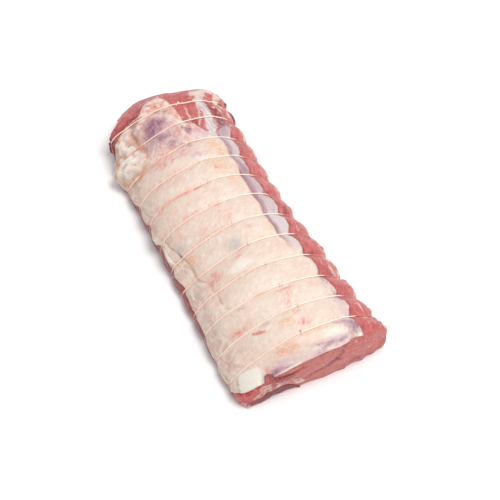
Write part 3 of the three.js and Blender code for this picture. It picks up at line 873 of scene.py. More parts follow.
# %% [markdown]
# ### Stains and membranes
#
# Colour on the cap follows what lies under it and what has been cut: violet where muscle shows through
# silverskin, pink where blood has soaked in, peach where the fat is older. Each stain is an uneven oval at a
# place on the roast. They are stored as marks, one for each colour.

# %% Marks on the cap
MM_PER_DEGREE = 0.75
# Stains as [y, angle in degrees, half length, half width, strength], and for some a turn in degrees.
STAINS = {
    "violet": [(113, 116, 9, 9, 1), (107, 121, 7, 7, 1), (97, 113, 6, 5, 0.9), (119, 116, 5, 8, 0.7),
        (92, 85, 5, 3.5, 1), (97, 90, 3, 2, 0.6), (123, 94, 2.5, 3, 0.7), (119, 134, 4, 4, 0.9),
        (99, 122, 8, 6, 0.5), (86, 109, 5, 6, 0.55), (100, 129, 6, 4, 0.4), (76, 95, 3, 3, 0.5),
        (80, 103, 3, 3, 0.5), (127, 103, 3, 4, 0.5), (-164, 131, 3, 5, 0.8), (-166, 124, 2, 6, 0.6),
        (-163, 84, 1.2, 4, 0.7, 30), (-163, 93, 1.4, 5, 0.7, 20), (-160, 98, 1.2, 4, 0.5, -20),
        (-156, 66, 9, 4.5, 0.8, -41), (-149, 67, 1.4, 5, 0.7), (-161, 74, 4, 2.5, 0.6, -41),
        (-166, 78, 1.5, 3, 0.6), (-166, 100, 1.5, 5, 0.5), (-124, 115, 2, 3, 0.4), (-100, 122, 2, 4, 0.4),
        (-122, 49, 9, 1.5, 0.7), (-100, 49, 8, 1.3, 0.5), (90, 46, 7, 4, 0.7), (94, 40, 5, 5, 0.8)],
    "lilac": [(87, 72, 7, 9, 0.9), (92, 62, 4, 4, 0.8), (78, 80, 5, 6, 0.5), (104, 112, 22, 15, 0.8),
        (94, 102, 10, 9, 1), (70, 100, 7, 10, 0.45), (100, 95, 6, 6, 0.7), (111, 104, 5, 4, 0.6),
        (138, 108, 3.5, 3, 0.9), (61, 93, 4, 5, 0.9), (61, 81, 4, 4, 0.5), (82, 107, 6, 5, 0.4),
        (-163, 88, 5, 9, 0.8), (-155, 63, 9, 6, 0.9, 35), (-166, 104, 3, 9, 0.9), (-163, 128, 5, 8, 0.8),
        (-141, 57, 7, 3, 0.8), (-128, 53, 12, 3, 0.8), (-105, 52, 9, 3, 0.6), (86, 60, 8, 4, 0.8),
        (104, 74, 4, 4, 0.5), (127, 100, 4, 6, 0.4), (-162, 122, 4, 8, 0.6), (-40, 54, 10, 3, 0.5)],
    "pink": [(-160, 134, 4, 4, 0.9), (-164, 128, 3, 4, 0.5), (92, 78, 4, 5, 0.7), (84, 70, 3, 4, 0.6),
        (80, 86, 4, 5, 0.6), (97, 80, 3, 4, 0.6), (70, 123, 5, 9, 1), (123, 81, 4, 6, 0.8),
        (135, 93, 5, 6, 0.9), (118, 88, 4, 5, 0.7), (90, 122, 6, 7, 0.5), (70, 104, 4, 5, 0.8),
        (104, 96, 4, 4, 0.4), (76, 129, 4, 5, 0.6), (68, 105, 3.5, 4, 1), (40, 79.5, 3, 3, 1),
        (80, 114, 5, 6, 0.6), (28, 143, 5, 4.5, 1), (27, 110, 2, 9, 0.8), (-6, 101, 3, 3, 0.5),
        (-14, 100, 5, 5, 0.4), (-30, 85, 3, 3, 0.6), (-14, 120, 3, 6, 0.5), (-59, 134, 6, 6, 1),
        (-56, 138, 4, 3, 0.6), (-53, 111, 1.5, 5, 0.7), (-101, 85, 2, 6, 0.9), (-106, 86, 4, 3, 0.5),
        (-117, 89, 5, 2.5, 0.7), (-125, 88, 3, 3, 0.9), (-138, 88, 4, 4, 0.9), (-117, 135, 4, 6, 0.7),
        (-116, 124, 4, 4, 0.4), (-152, 115, 6, 5, 0.5), (50, 124, 9, 12, 0.35), (8, 122, 12, 14, 0.3),
        (120, 88, 5, 5, 0.9), (112, 86, 5, 4, 0.9), (132, 101, 4, 8, 0.9), (140, 95, 4, 5, 0.8),
        (129, 112, 3, 6, 0.7), (60, 88, 4, 4, 0.4), (-84, 128, 6, 7, 0.3), (-130, 160, 6, 5, 0.4),
        (-136, 152, 4, 4, 0.7)],
    "peach": [(25, 71, 4, 4, 0.8), (17, 66, 9, 5, 0.5), (45, 74, 12, 9, 0.6), (68, 68, 8, 6, 0.9),
        (58, 63, 9, 4, 0.9), (50, 82, 7, 6, 0.5), (-30, 143, 7, 4.5, 1), (-6, 139, 4, 4, 0.6),
        (-132, 101, 6, 6, 0.9), (-103, 62, 1.6, 1.6, 1), (-152, 113, 6, 7, 0.9), (138, 99, 5, 8, 0.7),
        (127, 115, 3.5, 11, 0.8), (90, 75, 5, 5, 0.6), (-36, 65, 8, 4, 0.6), (-148, 84, 4, 4, 0.5),
        (-152, 92, 5, 6, 0.4), (104, 122, 7, 6, 0.4), (78, 88, 8, 6, 0.3)],
    "red": [(-53, 112, 0.8, 4, 0.35, 10), (-101, 85, 1.2, 4.5, 0.6, 10), (-128, 122.5, 1.6, 5.5, 0.9, -35),
        (28.5, 117, 0.9, 7, 0.6), (27, 103, 1.2, 4, 0.6), (-145, 95.5, 1.4, 1.4, 0.9),
        (-139, 88, 2, 2, 0.4), (40, 79.5, 1.3, 1.3, 0.6), (101, 141, 5, 0.9, 0.7), (68, 105, 1.6, 1.6, 0.4),
        (-117, 137, 1, 5, 0.6), (138, 104, 1.2, 3, 0.8), (134, 98, 1.2, 4, 0.7), (129, 92, 1.5, 3, 0.7),
        (124, 86, 1.2, 4, 0.6), (113, 80, 1.4, 3, 0.6), (49, 102, 1, 2, 0.5), (-30, 85, 0.9, 1.6, 0.4),
        (-152, 117, 1, 3, 0.4, 60), (120, 152, 3, 1, 0.6)],
    # maroon: partly dark red tissue, partly painted shadow in the gap at the left edge of the far end
    "maroon": [(129, 126, 2.2, 8, 1), (126, 132, 3, 3, 0.7), (119, 134.5, 2.8, 2.5, 0.7),
        (-166, 137, 2.5, 3, 0.8), (-18, 150, 5, 0.7, 1), (89, 87, 2.5, 1.2, 0.5), (-146, 173, 4, 0.8, 0.6)],
    "white": [(-62, 111, 5, 8, 1), (-165, 73, 2, 2.5, 1), (-157, 83, 6, 4.5, 1), (-162, 101, 1, 6, 1, 20),
        (-165, 92, 1, 6, 1, 10), (98, 103, 4, 4, 0.5), (60, 96, 4, 4, 0.7), (70, 110, 3, 5, 0.5),
        (-42, 128, 8, 10, 0.5), (99, 152, 18, 13, 1), (8, 165, 7, 3, 1), (-15, 162.5, 9, 1.6, 1),
        (88, 62, 7, 3.5, 1), (84, 76, 2.5, 3, 0.6), (-118, 68, 10, 12, 0.4), (-90, 100, 12, 16, 0.3),
        (94, 101, 4, 5, 0.4)],
    "grey": [(-40, 108, 6, 5, 1), (-51, 108, 3, 4, 0.5), (-14, 148, 5, 4, 0.7), (-60, 152, 16, 5, 0.5),
        (-100, 152, 12, 6, 0.4), (77, 134, 8, 5, 0.3)],
}
# Where the silver membrane of the right side meets the fat, as [y, angle in degrees].
SILVER_LINE = [(-70, 60), (-51, 62), (-43, 63), (-26, 63), (-17, 62.5), (0, 61.5), (17, 61), (33, 57.5),
    (53, 56), (73, 55.5), (89, 57.5), (100, 62)]
SILVER_REACH = [(-70, 0), (-52, 0.7), (-34, 0.9), (-16, 1), (78, 1), (96, 0.9)]
SILVER_PALE = [(-66, 1), (-38, 1), (-22, 0.75), (-6, 0.3), (8, 0.1), (34, 0.1), (56, 0.5), (76, 0.5),
    (88, 0.2)]
SILVER_DARK_WIDTH = [(-60, 2.5), (-20, 4), (0, 6), (30, 8), (60, 5), (76, 5), (90, 20)]
SILVER_DARK = [(-66, 0), (-50, 0.7), (-30, 1), (20, 1), (50, 0.9), (76, 0.7), (90, 0.8)]


def stain(y, angle, place, seed):
    """1 inside an uneven oval, easing to 0 well outside it, its edge moved in and out by noise."""
    stain_y, stain_angle, length, width, strength, turn = (*place, 0)[:6]
    u, v = turned(y - stain_y, (np.degrees(angle) - stain_angle) * MM_PER_DEGREE, turn)
    size = max(2.5, 0.7 * min(length, width))
    uneven = 0.35 * rough_noise(y, angle * MEAN_ARM, size=size, seed=seed)
    return strength * smooth(np.hypot(u / length, v / width) + uneven, 1.6, 0.2)


def strongest(spot, u, v, places, seed):
    """The highest share that any of the places gives, each with a seed of its own."""
    return np.maximum.reduce([spot(u, v, place, seed + i) for i, place in enumerate(places)])


def silver_marks(y, angle):
    """Shares of the membrane strip on the right, of its dark inner part, and of its pale outer part."""
    arc = angle * MEAN_ARM
    degrees = np.degrees(angle) + 1.2 * rough_noise(y, arc, size=9, seed=31)
    across = along(SILVER_LINE, y) - degrees
    strip = smooth(across, -0.9, 0.9) * along(SILVER_REACH, y)
    width = along(SILVER_DARK_WIDTH, y) * (1 + 0.35 * rough_noise(y, np.zeros_like(y), size=11, seed=32))
    lengthwise = rough_noise(y / 7, arc, size=1.8, seed=33)
    dark = strip * smooth(across, width + 3, width - 2) * along(SILVER_DARK, y) * (0.8 + 0.6 * lengthwise)
    pale = strip * smooth(across, 3, 7) * along(SILVER_PALE, y)
    edge = bell(across, 1.5) * along(SILVER_REACH, y)
    return strip, np.clip(dark, 0, 1), pale, edge


def fat_marks(points):
    """The cap's marks, at points with y and angle as channels 3 and 4."""
    y, angle = points[:, 3], points[:, 4]
    arc, degrees = angle * MEAN_ARM, np.degrees(angle)
    marks = {colour: strongest(stain, y, angle, places, 100 * k)
             for k, (colour, places) in enumerate(STAINS.items())}
    strip, dark, pale, edge = silver_marks(y, angle)
    marks["strip"], marks["strip_dark"], marks["strip_pale"] = strip, dark, pale
    marks["peach"] = np.maximum(marks["peach"], edge)
    rim = bell((angle - cap_edges(y)[0]) * MEAN_ARM, 1.1) * smooth(y, 80, 20) * 0.8
    marks["lilac"] = np.maximum(marks["lilac"], rim)
    marks["silver"] = np.maximum(strip, 0.7 * np.maximum(marks["lilac"], marks["violet"]))

    # painted shade: the crease mark darkens the furrows, the valleys among the knobs and the gaps between
    # their grains
    among_knobs = knob_share(y, angle)
    valleys = 0.8 * smooth(knobs(y, angle, KNOBS), 1.6, 0.5) * among_knobs
    gaps = 0.5 * smooth(nodules(y, angle), 0.62, 0.4) * among_knobs
    furrows = 0.55 * smooth(furrow_depth(y, angle), 0.2, 1.6)
    marks["crease"] = np.maximum.reduce([furrows, valleys, gaps])
    # painted highlight on the tops of the far folds; the pink between them is partly the fat's own colour,
    # partly painted shade
    wide = [(place_y, place_angle, 1.5 * radius, height) for place_y, place_angle, radius, height in FOLDS]
    fold_top = knobs(y, angle, FOLDS)
    marks["fold_top"] = smooth(fold_top, 0.5, 1.3) * (y > 0)
    marks["fold_gap"] = smooth(knobs(y, angle, wide), 0.2, 0.8) * smooth(fold_top, 0.7, 0.1) * (y > 90)
    # painted light on the loose folds: a painted highlight on the ridges, painted shade in the valleys
    folded = folds_of_fat(y, angle) * loose_share(y, angle)
    marks["ridge"], marks["valley"] = smooth(folded, 0.05, 0.45), smooth(folded, -0.05, -0.35)

    marks["web"] = smooth(y, 66, 84) * smooth(degrees, 142, 128) * smooth(degrees, 66, 78)
    white_rim = smooth(y - near_line(angle), 2.0, 0.8) * smooth(rough_noise(arc, size=7, seed=35), -0.5, 0.1)
    white_rim = white_rim * smooth(degrees, 106, 112) * smooth(degrees, 131, 128)
    marks["block"] = np.maximum(smooth(block_reach(y, angle), 1.05, 0.97), 0.8 * white_rim)
    # painted shade: the fat on the left side, turned away from the light, gets a darker colour
    marks["left"] = smooth(degrees, 112, 160)
    # pink beside the twine: partly blood soaked in, partly painted shade where the fat dips into the groove
    marks["beside_twine"] = bell(off_loop(y), 2.6) * smooth(degrees, 82, 115) * smooth(y, -125, -60)
    marks["cut"] = points[:, 5] * (y < 0)
    return marks


print("stains:", {colour: len(places) for colour, places in STAINS.items()})

# %% [markdown]
# ### The look of fat
#
# Raw fat is cream with a waxy sheen, and light enters it a little way. The base is two creams mixed in clouds.
# Over it lie faint strands, lighter and pinker, hair-thin vessels, and the stains. Silverskin is smoother and
# shinier than fat, so its mark lowers the roughness and raises the coat. Each row below is a colour, the share
# of the surface that it covers, and how strongly it covers it.

# %% Fat material
CREAM, BEIGE, BRIGHT_FAT = rgb(245, 229, 214), rgb(239, 212, 195), rgb(251, 243, 233)
# Painted shade: the first colour on this line darkens the fat's left side, the second darkens its creases.
LEFT_SIDE_SHADE, FAT_SHADE, BLUSH = rgb(230, 205, 191), rgb(198, 144, 114), rgb(245, 204, 192)
PINK, PEACH, BLOOD, MAROON = rgb(240, 160, 148), rgb(244, 190, 148), rgb(214, 84, 76), rgb(132, 60, 66)
VIOLET, LILAC, ASH = rgb(146, 82, 114), rgb(226, 190, 196), rgb(196, 190, 190)
MAUVE, MAUVE_DARK = rgb(208, 176, 182), rgb(158, 106, 128)
STRAND_TURN = math.radians(-17)  # the strands in the fat run nearly across the loin


def strands(layers, size_mm, turn, stretch=0.2):
    """Noise drawn out into strands: along their direction it changes more slowly than across."""
    return layers.noise(size_mm, 5, 0.62, layers.stretched((stretch, 1.0, 0.7), (0, 0, turn)), 0.4)


def fat_material():
    material, layers, shader = new_material("veal fat")
    mark, cloud, ramp, times, broken = layers.mark, layers.noise, layers.ramp, layers.times, layers.broken
    fine_strand = strands(layers, 1.5, STRAND_TURN)
    broad_strand = strands(layers, 3.4, STRAND_TURN - 0.5, 0.3)
    vein = ramp(layers.sum(strands(layers, 9, STRAND_TURN - 0.3, 0.4), 0.5, "SUBTRACT"), -0.014, 0.014)
    vein = times(vein, layers.sum(1.0, vein, "SUBTRACT"))
    vein = times(times(vein, 4.0), ramp(cloud(26, 2), 0.5, 0.66))
    veiny = ramp(strands(layers, 2.6, STRAND_TURN - 0.6, 0.35), 0.42, 0.58, 0.1, 1.0)
    net = ramp(strands(layers, 2.2, STRAND_TURN + 0.9, 0.4), 0.42, 0.58, 0.12, 1.0)
    web = cloud(5, 4, 0.6, layers.stretched((1.0, 0.6, 1.0), (0, 0, 0.6)), 1.2)
    lengthwise = cloud(2.2, 4, 0.6, layers.stretched((1.0, 0.14, 1.0), (0, 0, math.radians(-6))), 0.3)
    cut_grain = ramp(strands(layers, 1.2, 0.0, 0.15), 0.3, 0.7, 0.25, 0.9)
    colour = layers.lay(CREAM, [
        (BEIGE, layers.mottled(15, 0.8), 1),
        # painted shade on the left side of the fat
        (LEFT_SIDE_SHADE, mark("left"), 0.7),
        (BLUSH, ramp(cloud(22, 4, 0.6), 0.47, 0.72), 0.55),
        (rgb(240, 206, 188), ramp(broad_strand, 0.52, 0.7), 0.55),
        (BRIGHT_FAT, ramp(broad_strand, 0.48, 0.32), 0.6),
        (rgb(238, 200, 182), ramp(fine_strand, 0.53, 0.7), 0.45),
        (BRIGHT_FAT, ramp(fine_strand, 0.46, 0.32), 0.55),
        (rgb(230, 158, 142), vein, 0.4),
        (PEACH, times(broken("peach", 3, 0.7, 0.6), net), 0.95),
        (PINK, times(broken("pink", 2.5, 0.8, 0.6), veiny), 0.95),
        # pink beside the twine: partly blood, partly painted shade in the groove
        (PINK, times(broken("beside_twine", 3, 0.9, 0.5), veiny), 0.5),
        (ASH, broken("grey", 3.5, 0.5, 0.6), 0.65),
        (BRIGHT_FAT, broken("white", 3, 0.4, 0.5), 0.8),
        (LILAC, broken("lilac", 4, 0.4, 0.6), 0.85),
        (rgb(228, 160, 146), times(ramp(web, 0.5, 0.62), mark("web")), 0.75),
        (rgb(242, 226, 224), times(ramp(web, 0.44, 0.34), mark("web")), 0.6),
        (VIOLET, times(broken("violet", 2.5, 0.6, 0.6), ramp(broad_strand, 0.36, 0.62, 1.0, 0.72)), 0.95),
        (MAUVE, mark("strip"), 0.9),
        (MAUVE_DARK, mark("strip_dark"), 0.92),
        (rgb(232, 222, 220), mark("strip_pale"), 0.85),
        # painted highlight: light lengthwise glints on the membranes, with darker streaks between them
        (rgb(234, 220, 222), times(ramp(lengthwise, 0.52, 0.7), mark("silver")), 0.5),
        (rgb(160, 116, 136), times(ramp(lengthwise, 0.46, 0.3), mark("silver")), 0.35),
        (BLOOD, broken("red", 1.6, 0.8, 0.5), 0.7),
        # painted highlight on the fold ridges, then painted shade in the valleys between them
        (rgb(246, 228, 212), mark("ridge"), 0.5),
        (rgb(206, 166, 148), mark("valley"), 0.4),
        # painted shade in the furrows and among the knobs
        (FAT_SHADE, mark("crease"), 0.8),
        # dark red: partly the tissue's colour, partly painted shadow in the gap at the far left
        (MAROON, broken("maroon", 1.6, 0.5, 0.4), 0.85),
        # pink between the far folds: partly the fat's own colour, partly painted shade; the next row is a
        # painted highlight on their tops
        (rgb(222, 150, 140), times(mark("fold_gap"), ramp(broad_strand, 0.35, 0.6, 0.3, 0.9)), 0.6),
        (rgb(250, 232, 222), mark("fold_top"), 0.65),
        (rgb(228, 176, 170), times(mark("cut"), cut_grain), 1),
        (rgb(248, 242, 230), mark("block"), 0.85)])

    block_calm = ramp(mark("block"), 0.2, 0.8, 0.5, 0.1)
    coarse = layers.bump(layers.mottled(6, 0.8), 1.1, 0.6)
    strand_bump = layers.bump(times(layers.sum(fine_strand, broad_strand), block_calm), 0.8, 0.8, coarse)
    rough = layers.sum(ramp(cloud(4, 3), 0.3, 0.7, 0.38, 0.55), times(mark("silver"), 0.14), "SUBTRACT")
    layers.feed(shader, Base_Color=colour, Normal=layers.bump(cloud(0.9, 3, 0.6), 0.12, 0.5, strand_bump),
                Roughness=rough, Coat_Weight=layers.sum(0.12, times(mark("silver"), 0.35)), IOR=1.44,
                Coat_Roughness=0.28, Subsurface_Weight=0.1, Subsurface_Scale=0.0012,
                Subsurface_Radius=(1.0, 0.55, 0.45))
    return material


def cap_end(sheet, share, near):
    """The cut edge of the cap: it bulges a little over the face, unevenly."""
    if near:
        uneven = rough_noise(sheet[..., 0], sheet[..., 2], size=5, seed=18)
        thickness = np.linalg.norm(sheet[0, :, :3] - sheet[-1, :, :3], axis=-1)
        sheet[..., 1] -= dome(share) * (0.5 + 0.5 * uneven) * np.clip(thickness, 0, 1)
    return sheet


def make_fat_cap():
    y, angle = cap_places()
    upper, lower = (above_flap(channels(y, angle, height(y, angle)), y) for height in (cap_top, cap_foot))
    points, faces = body_between(upper, lower, 8, 2, cap_end)
    cap = make_mesh("fat_cap_skin", points[:, :3], faces, fat_marks(points), fat_material())
    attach(cap, "root")
    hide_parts("fat_cap")
    return cap


fat_cap = make_fat_cap()

# %% [markdown]
# ## The lean
#
# The lean is the loin muscle itself. It shows as a bulging strip down the right side, at the bare far end with
# its tendons, and on the near cut face. Under the cap it follows the cap's underside, and at the lower left it
# rests on the folded flank muscle.

# %% Shape of the lean
NEAR_BULGE, FAR_BULGE = 0.5, 4.0
STRIP_ANGLE = 60.0  # the strip of lean on the right lies below this angle, in degrees, and gets finer columns
STRIP_COLUMNS, OTHER_COLUMNS = 62, 88
UNDERCUT, UNDERCUT_REACH = 0.65, 3.0  # the lean stands this much lower beside the cap's edge
NOTCH_DEPTH = 1.2
# Nubs of fat and sinew on the right contour and the far lip, as [y, angle in degrees, radius, height].
NUBS = [(82, 14, 4, 1.6), (31, 14, 3, 1), (-12, 16, 4, 1.4), (-47, 14, 3, 1.2), (-76, 22, 3.5, 1.6),
    (-86, 17, 3, 1.2), (-112, 20, 4, 1.3), (-140, 18, 4, 1.5), (-148, 22, 4, 1.6), (-157, 19, 4, 1.6),
    (-164, 18, 4.5, 3), (-62, 15, 3, 1.4), (-100, 15, 3, 1.4), (55, 14, 3, 1.4), (10, 14, 3, 1.2),
    (139, 58, 5, 1.6), (142, 44, 4, 1.6), (136, 29, 5, 2), (129, 32, 3.5, 1.6), (119, 40, 4, 1.4),
    (111, 42, 3, 1.2), (104, 40, 2.5, 1), (97, 44, 2.5, 1), (115, 30, 3, 1), (139, 157, 13, 2.6),
    (147, 138, 10, 1.6)]
# Tendons and sinews at the far end, raised bands as [stops of y and angle, half width, height].
TENDON = ([(78, 62), (88, 60), (97, 59), (107, 55), (118, 52), (134, 52), (150, 50)], 4.2, 1.3)
SINEWS = [([(103, 75), (125, 69)], 0.9, 0.6), ([(93, 69), (126, 57)], 0.9, 0.6)]


def fibre_relief(y, angle):
    """Bundles of fibre along the roast, slanted a little, over a slower unevenness."""
    arc = angle * MEAN_ARM
    bundle = rough_noise(y / 2.8, arc + 0.3 * y, size=2.4, seed=41)
    slow = rough_noise(y, arc, size=10, seed=42)
    pit = lobes(y / 1.6, arc, 2.4, 43) - 0.75
    torn = rough_noise(y, arc / 2, size=8, seed=44) * smooth(np.degrees(angle), 34, 16)
    return (0.45 * bundle + 0.6 * slow + 0.35 * pit + 0.9 * torn) * (0.35 + 0.65 * pillow(y))


def lean_height(y, angle):
    """Height of the lean's skin above the section: the cap's underside less a gap, or the bare muscle."""
    inside = cap_inside(y, angle)
    beyond = beyond_far_line(y, section(y, angle)[0])
    lip = np.where(angle < math.pi, LIP_STEP * smooth(beyond, 0, LIP_SLOPE), 0) * pillow(y)
    bare = fibre_relief(y, angle) * smooth(-inside, 0, 3) + knobs(y, angle, NUBS)
    for stops, width, rise in [TENDON, *SINEWS]:
        bare = bare + rise * line_share(y, angle, stops, width)
    notch = NOTCH_DEPTH * smooth(-notch_distance(y, angle), 0, 1.6)
    outside = bare - lip - notch - UNDERCUT * np.exp(np.minimum(inside, 0) / UNDERCUT_REACH)
    under = -cap_depth(y, angle) - PIECE_GAP - curl(inside)
    return swell(y, angle) + form(y, angle) + np.where(inside > 0, under, outside)


def path_distance(u, v, stops):
    """Distance from each place to the bent line through the stops."""
    nearest = np.full(np.shape(u), 1e3)
    for (u0, v0), (u1, v1) in zip(stops, stops[1:]):
        du, dv = u1 - u0, v1 - v0
        t = np.clip(((u - u0) * du + (v - v0) * dv) / (du * du + dv * dv), 0, 1)
        nearest = np.minimum(nearest, np.hypot(u - u0 - t * du, v - v0 - t * dv))
    return nearest


# %% [markdown]
# ### The near cut face
#
# The knife left a nearly flat face across the grain. The large round muscle, the eye, stands out a little.
# A white membrane separates it from the long muscle above it on the right. At the left a folded membrane
# winds between the loin and the flank muscle, with a wedge of darker meat over it.

# %% Relief of the end faces
# Lines on the face as [x, z].
FOLD_LINE = [(-60, 2), (-56, 5), (-52, 8), (-47, 12), (-41, 11), (-38, 14.6), (-32, 13), (-23, 7), (-15, 6),
    (-12, 10)]
FOLD_ABOVE = [(-45, 21), (-39, 20), (-33, 17.5), (-26, 16), (-18, 11), (-12, 10)]
EYE_SEAM = [(29, 40), (27, 33), (22, 26), (12, 19), (0, 14), (-12, 11)]
WEDGE_TOP = [(-40, 31), (-30, 28), (-18, 28), (-8, 31)]
FOLD_STRANDS = (-0.6, 0.9, 2.4, 4.0)  # how far from the fold lines the pale edges of the membranes run


def face_relief(x, z):
    """How far the near face stands out of its plane: muscles as soft swellings, membranes as grooves."""
    eye = 1.2 * bell(np.hypot((x - 4) / 26, (z - 27) / 13), 1)
    loin = 0.8 * bell(np.hypot((x - 46) / 20, (z - 22) / 14), 1)
    grooves = 1.3 * bell(path_distance(x, z, EYE_SEAM), 1.6) + 1.6 * bell(path_distance(x, z, WEDGE_TOP), 1.5)
    folds = 1.8 * bell(path_distance(x, z, FOLD_LINE), 1.6) + 1.2 * bell(path_distance(x, z, FOLD_ABOVE), 1.4)
    creases = 1.5 * bell(path_distance(x, z + 2.6, FOLD_LINE), 1.2)
    grain = 0.55 * rough_noise(x, z, size=5, seed=51, octaves=4) + 0.5 * rough_noise(x, z, size=14, seed=52)
    return eye + loin - grooves + folds - creases + grain


def lean_end(sheet, share, near):
    """Both end faces bulge by a parabola from top to foot; the near one has its relief besides."""
    if near:
        rim = smooth(np.minimum(share, 1 - share), 0, 0.08)
        sheet[..., 1] -= NEAR_BULGE * dome(share) + rim * face_relief(sheet[..., 0], sheet[..., 2])
    else:
        bumps = rough_noise(sheet[..., 0], sheet[..., 2], size=12, seed=53)
        sheet[..., 1] += FAR_BULGE * dome(share) * (1 + 0.3 * bumps)
    return sheet


def lean_sheets():
    strip = np.linspace(0, math.radians(STRIP_ANGLE), STRIP_COLUMNS)
    rest = np.linspace(math.radians(STRIP_ANGLE), math.pi, OTHER_COLUMNS)[1:]
    angle = np.concatenate([strip, rest])
    y, angle = np.meshgrid(loop_rows(NEAR_END, FAR_END), angle, indexing="ij")
    upper = above_flap(channels(y, angle, lean_height(y, angle)), y)
    below = 2 * math.pi - angle
    lower = above_flap(channels(y, below, lean_height(y, below)), y)
    lower[:, [0, -1], :3] = upper[:, [0, -1], :3]
    return upper, lower


# %% [markdown]
# ### What shows on the lean
#
# Tendon and membrane are white with a silver sheen, bits of fat are cream, and the flesh runs from a light
# pink-red where it is cut to a dark red in the folds, partly painted shadow at the far left and the face's
# foot.
# As on the cap, each is a mark.

# %% Marks on the lean
# Stains as on the cap.
LEAN_STAINS = {
    "cream": [(143, 56, 8, 6, 0.9), (146, 42, 8, 6, 1), (137, 29, 6, 5, 1), (128, 33, 3, 3, 0.9),
        (82, 14, 5, 3, 1), (31, 13, 4, 2, 0.8), (-12, 15, 5, 2.5, 0.9), (-47, 13, 6, 2, 0.8),
        (-76, 23, 4, 3, 1), (-84, 14, 8, 2, 0.8), (-87, 30, 6, 3, 0.4), (-112, 15, 9, 2.2, 0.8),
        (-140, 15, 7, 2.6, 1), (-149, 19, 5, 3, 1), (-163, 19, 5, 3.5, 1), (-125, 13, 8, 2, 0.7),
        (150, 30, 8, 4, 0.6), (131, 101, 5, 3, 0.6), (121, 87, 4, 3, 0.6), (110, 80, 3, 2, 0.5),
        (119, 42, 1.6, 1.4, 0.9), (112, 40, 1.4, 1.4, 0.9), (105, 44, 1.4, 1.2, 0.8),
        (98, 43, 1.6, 1.2, 0.9), (123, 36, 1.4, 1.4, 0.8), (115, 35, 1.4, 1.2, 0.6)],
    "bright": [(-165, 156, 6, 14, 0.9)],
    "pale": [(142, 51, 9, 5, 0.8), (-160, 40, 8, 2, 0.3), (-90, 28, 7, 3, 0.6, 10), (-137, 35, 5, 0.9, 1),
        (-149.5, 40, 1, 4, 0.9), (98, 54, 6, 6, 0.6), (-94, 24, 5, 1.5, 0.6), (-28, 24, 6, 1.2, 0.7, 20),
        (36, 26, 5, 1, 0.5, 30), (118, 34, 8, 1.5, 0.7), (94, 56, 5, 4, 0.9), (10, 18, 6, 1, 0.5, 20),
        (-60, 20, 7, 1.2, 0.5, -20)],
    # dark: partly darker flesh, partly painted shadow in the gap below the far end's left edge
    "dark": [(112, 41, 13, 5, 1), (98, 47, 5, 3, 0.8), (-18, 30, 8, 5, 0.8), (133, 128, 5, 8, 0.9),
        (131, 142, 4, 6, 0.9), (140, 112, 3, 8, 0.6), (128, 165, 5, 7, 0.7), (-96, 34, 6, 4, 0.5),
        (-46, 34, 5, 4, 0.4), (98, 72, 6, 4, 0.7), (106, 176, 12, 6, 0.9), (134, 150, 7, 6, 0.6),
        (4, 38, 5, 3, 0.4), (66, 30, 6, 4, 0.3), (133, 118, 4, 8, 0.5), (-70, 38, 4, 3, 0.5)],
    "violet": [(99, 51, 8, 3, 0.8), (88, 42, 6, 2, 0.7), (96, 43, 6, 5, 0.9), (-164, 137, 6, 5, 0.45),
        (125, 137, 6, 5, 0.7), (-166, 120, 4, 6, 1), (120, 47, 8, 2, 0.5)],
}
RIM_FAT = [(-166, 20), (-150, 17), (-100, 14), (-90, 13), (0, 13), (60, 12), (100, 14), (120, 24),
    (142, 30), (160, 20)]
# Spots on the cut face as [x, z, half width, half height, strength], and a turn where there is one.
FACE_SPOTS = {
    "bright": [(-58, 12, 8, 10, 1), (-50, 20, 6, 7, 0.8), (50, 36, 12, 5, 0.4, -20), (66, 16, 7, 12, 0.8),
        (54, 4, 10, 4, 0.6)],
    # dark on the face: partly darker meat, as in the wedge, partly painted shadow along the face's foot
    "dark": [(-27, 24, 13, 6, 1, 4), (-42, 22, 5, 4, 0.6), (-58, 5, 6, 4, 0.6), (-20, 3, 16, 3, 0.6),
        (20, 22, 8, 3, 0.5, 30), (40, 8, 18, 4, 0.4), (-38, 26, 8, 3, 0.7, 10)],
    "violet": [(-43, 33, 5, 4, 1), (-36, 33, 7, 2.5, 0.9)],
    "cream": [(69, 36, 3.5, 3, 1), (-13, 9, 2.5, 2, 0.7)],
}


def face_spot(x, z, place, seed):
    """1 inside an uneven oval on the cut face, easing to 0 outside it."""
    spot_x, spot_z, width, height, strength, turn = (*place, 0)[:6]
    u, v = turned(x - spot_x, z - spot_z, turn)
    uneven = 0.25 * rough_noise(x, z, size=6, seed=seed)
    return strength * smooth(np.hypot(u / width, v / height) + uneven, 1.4, 0.5)


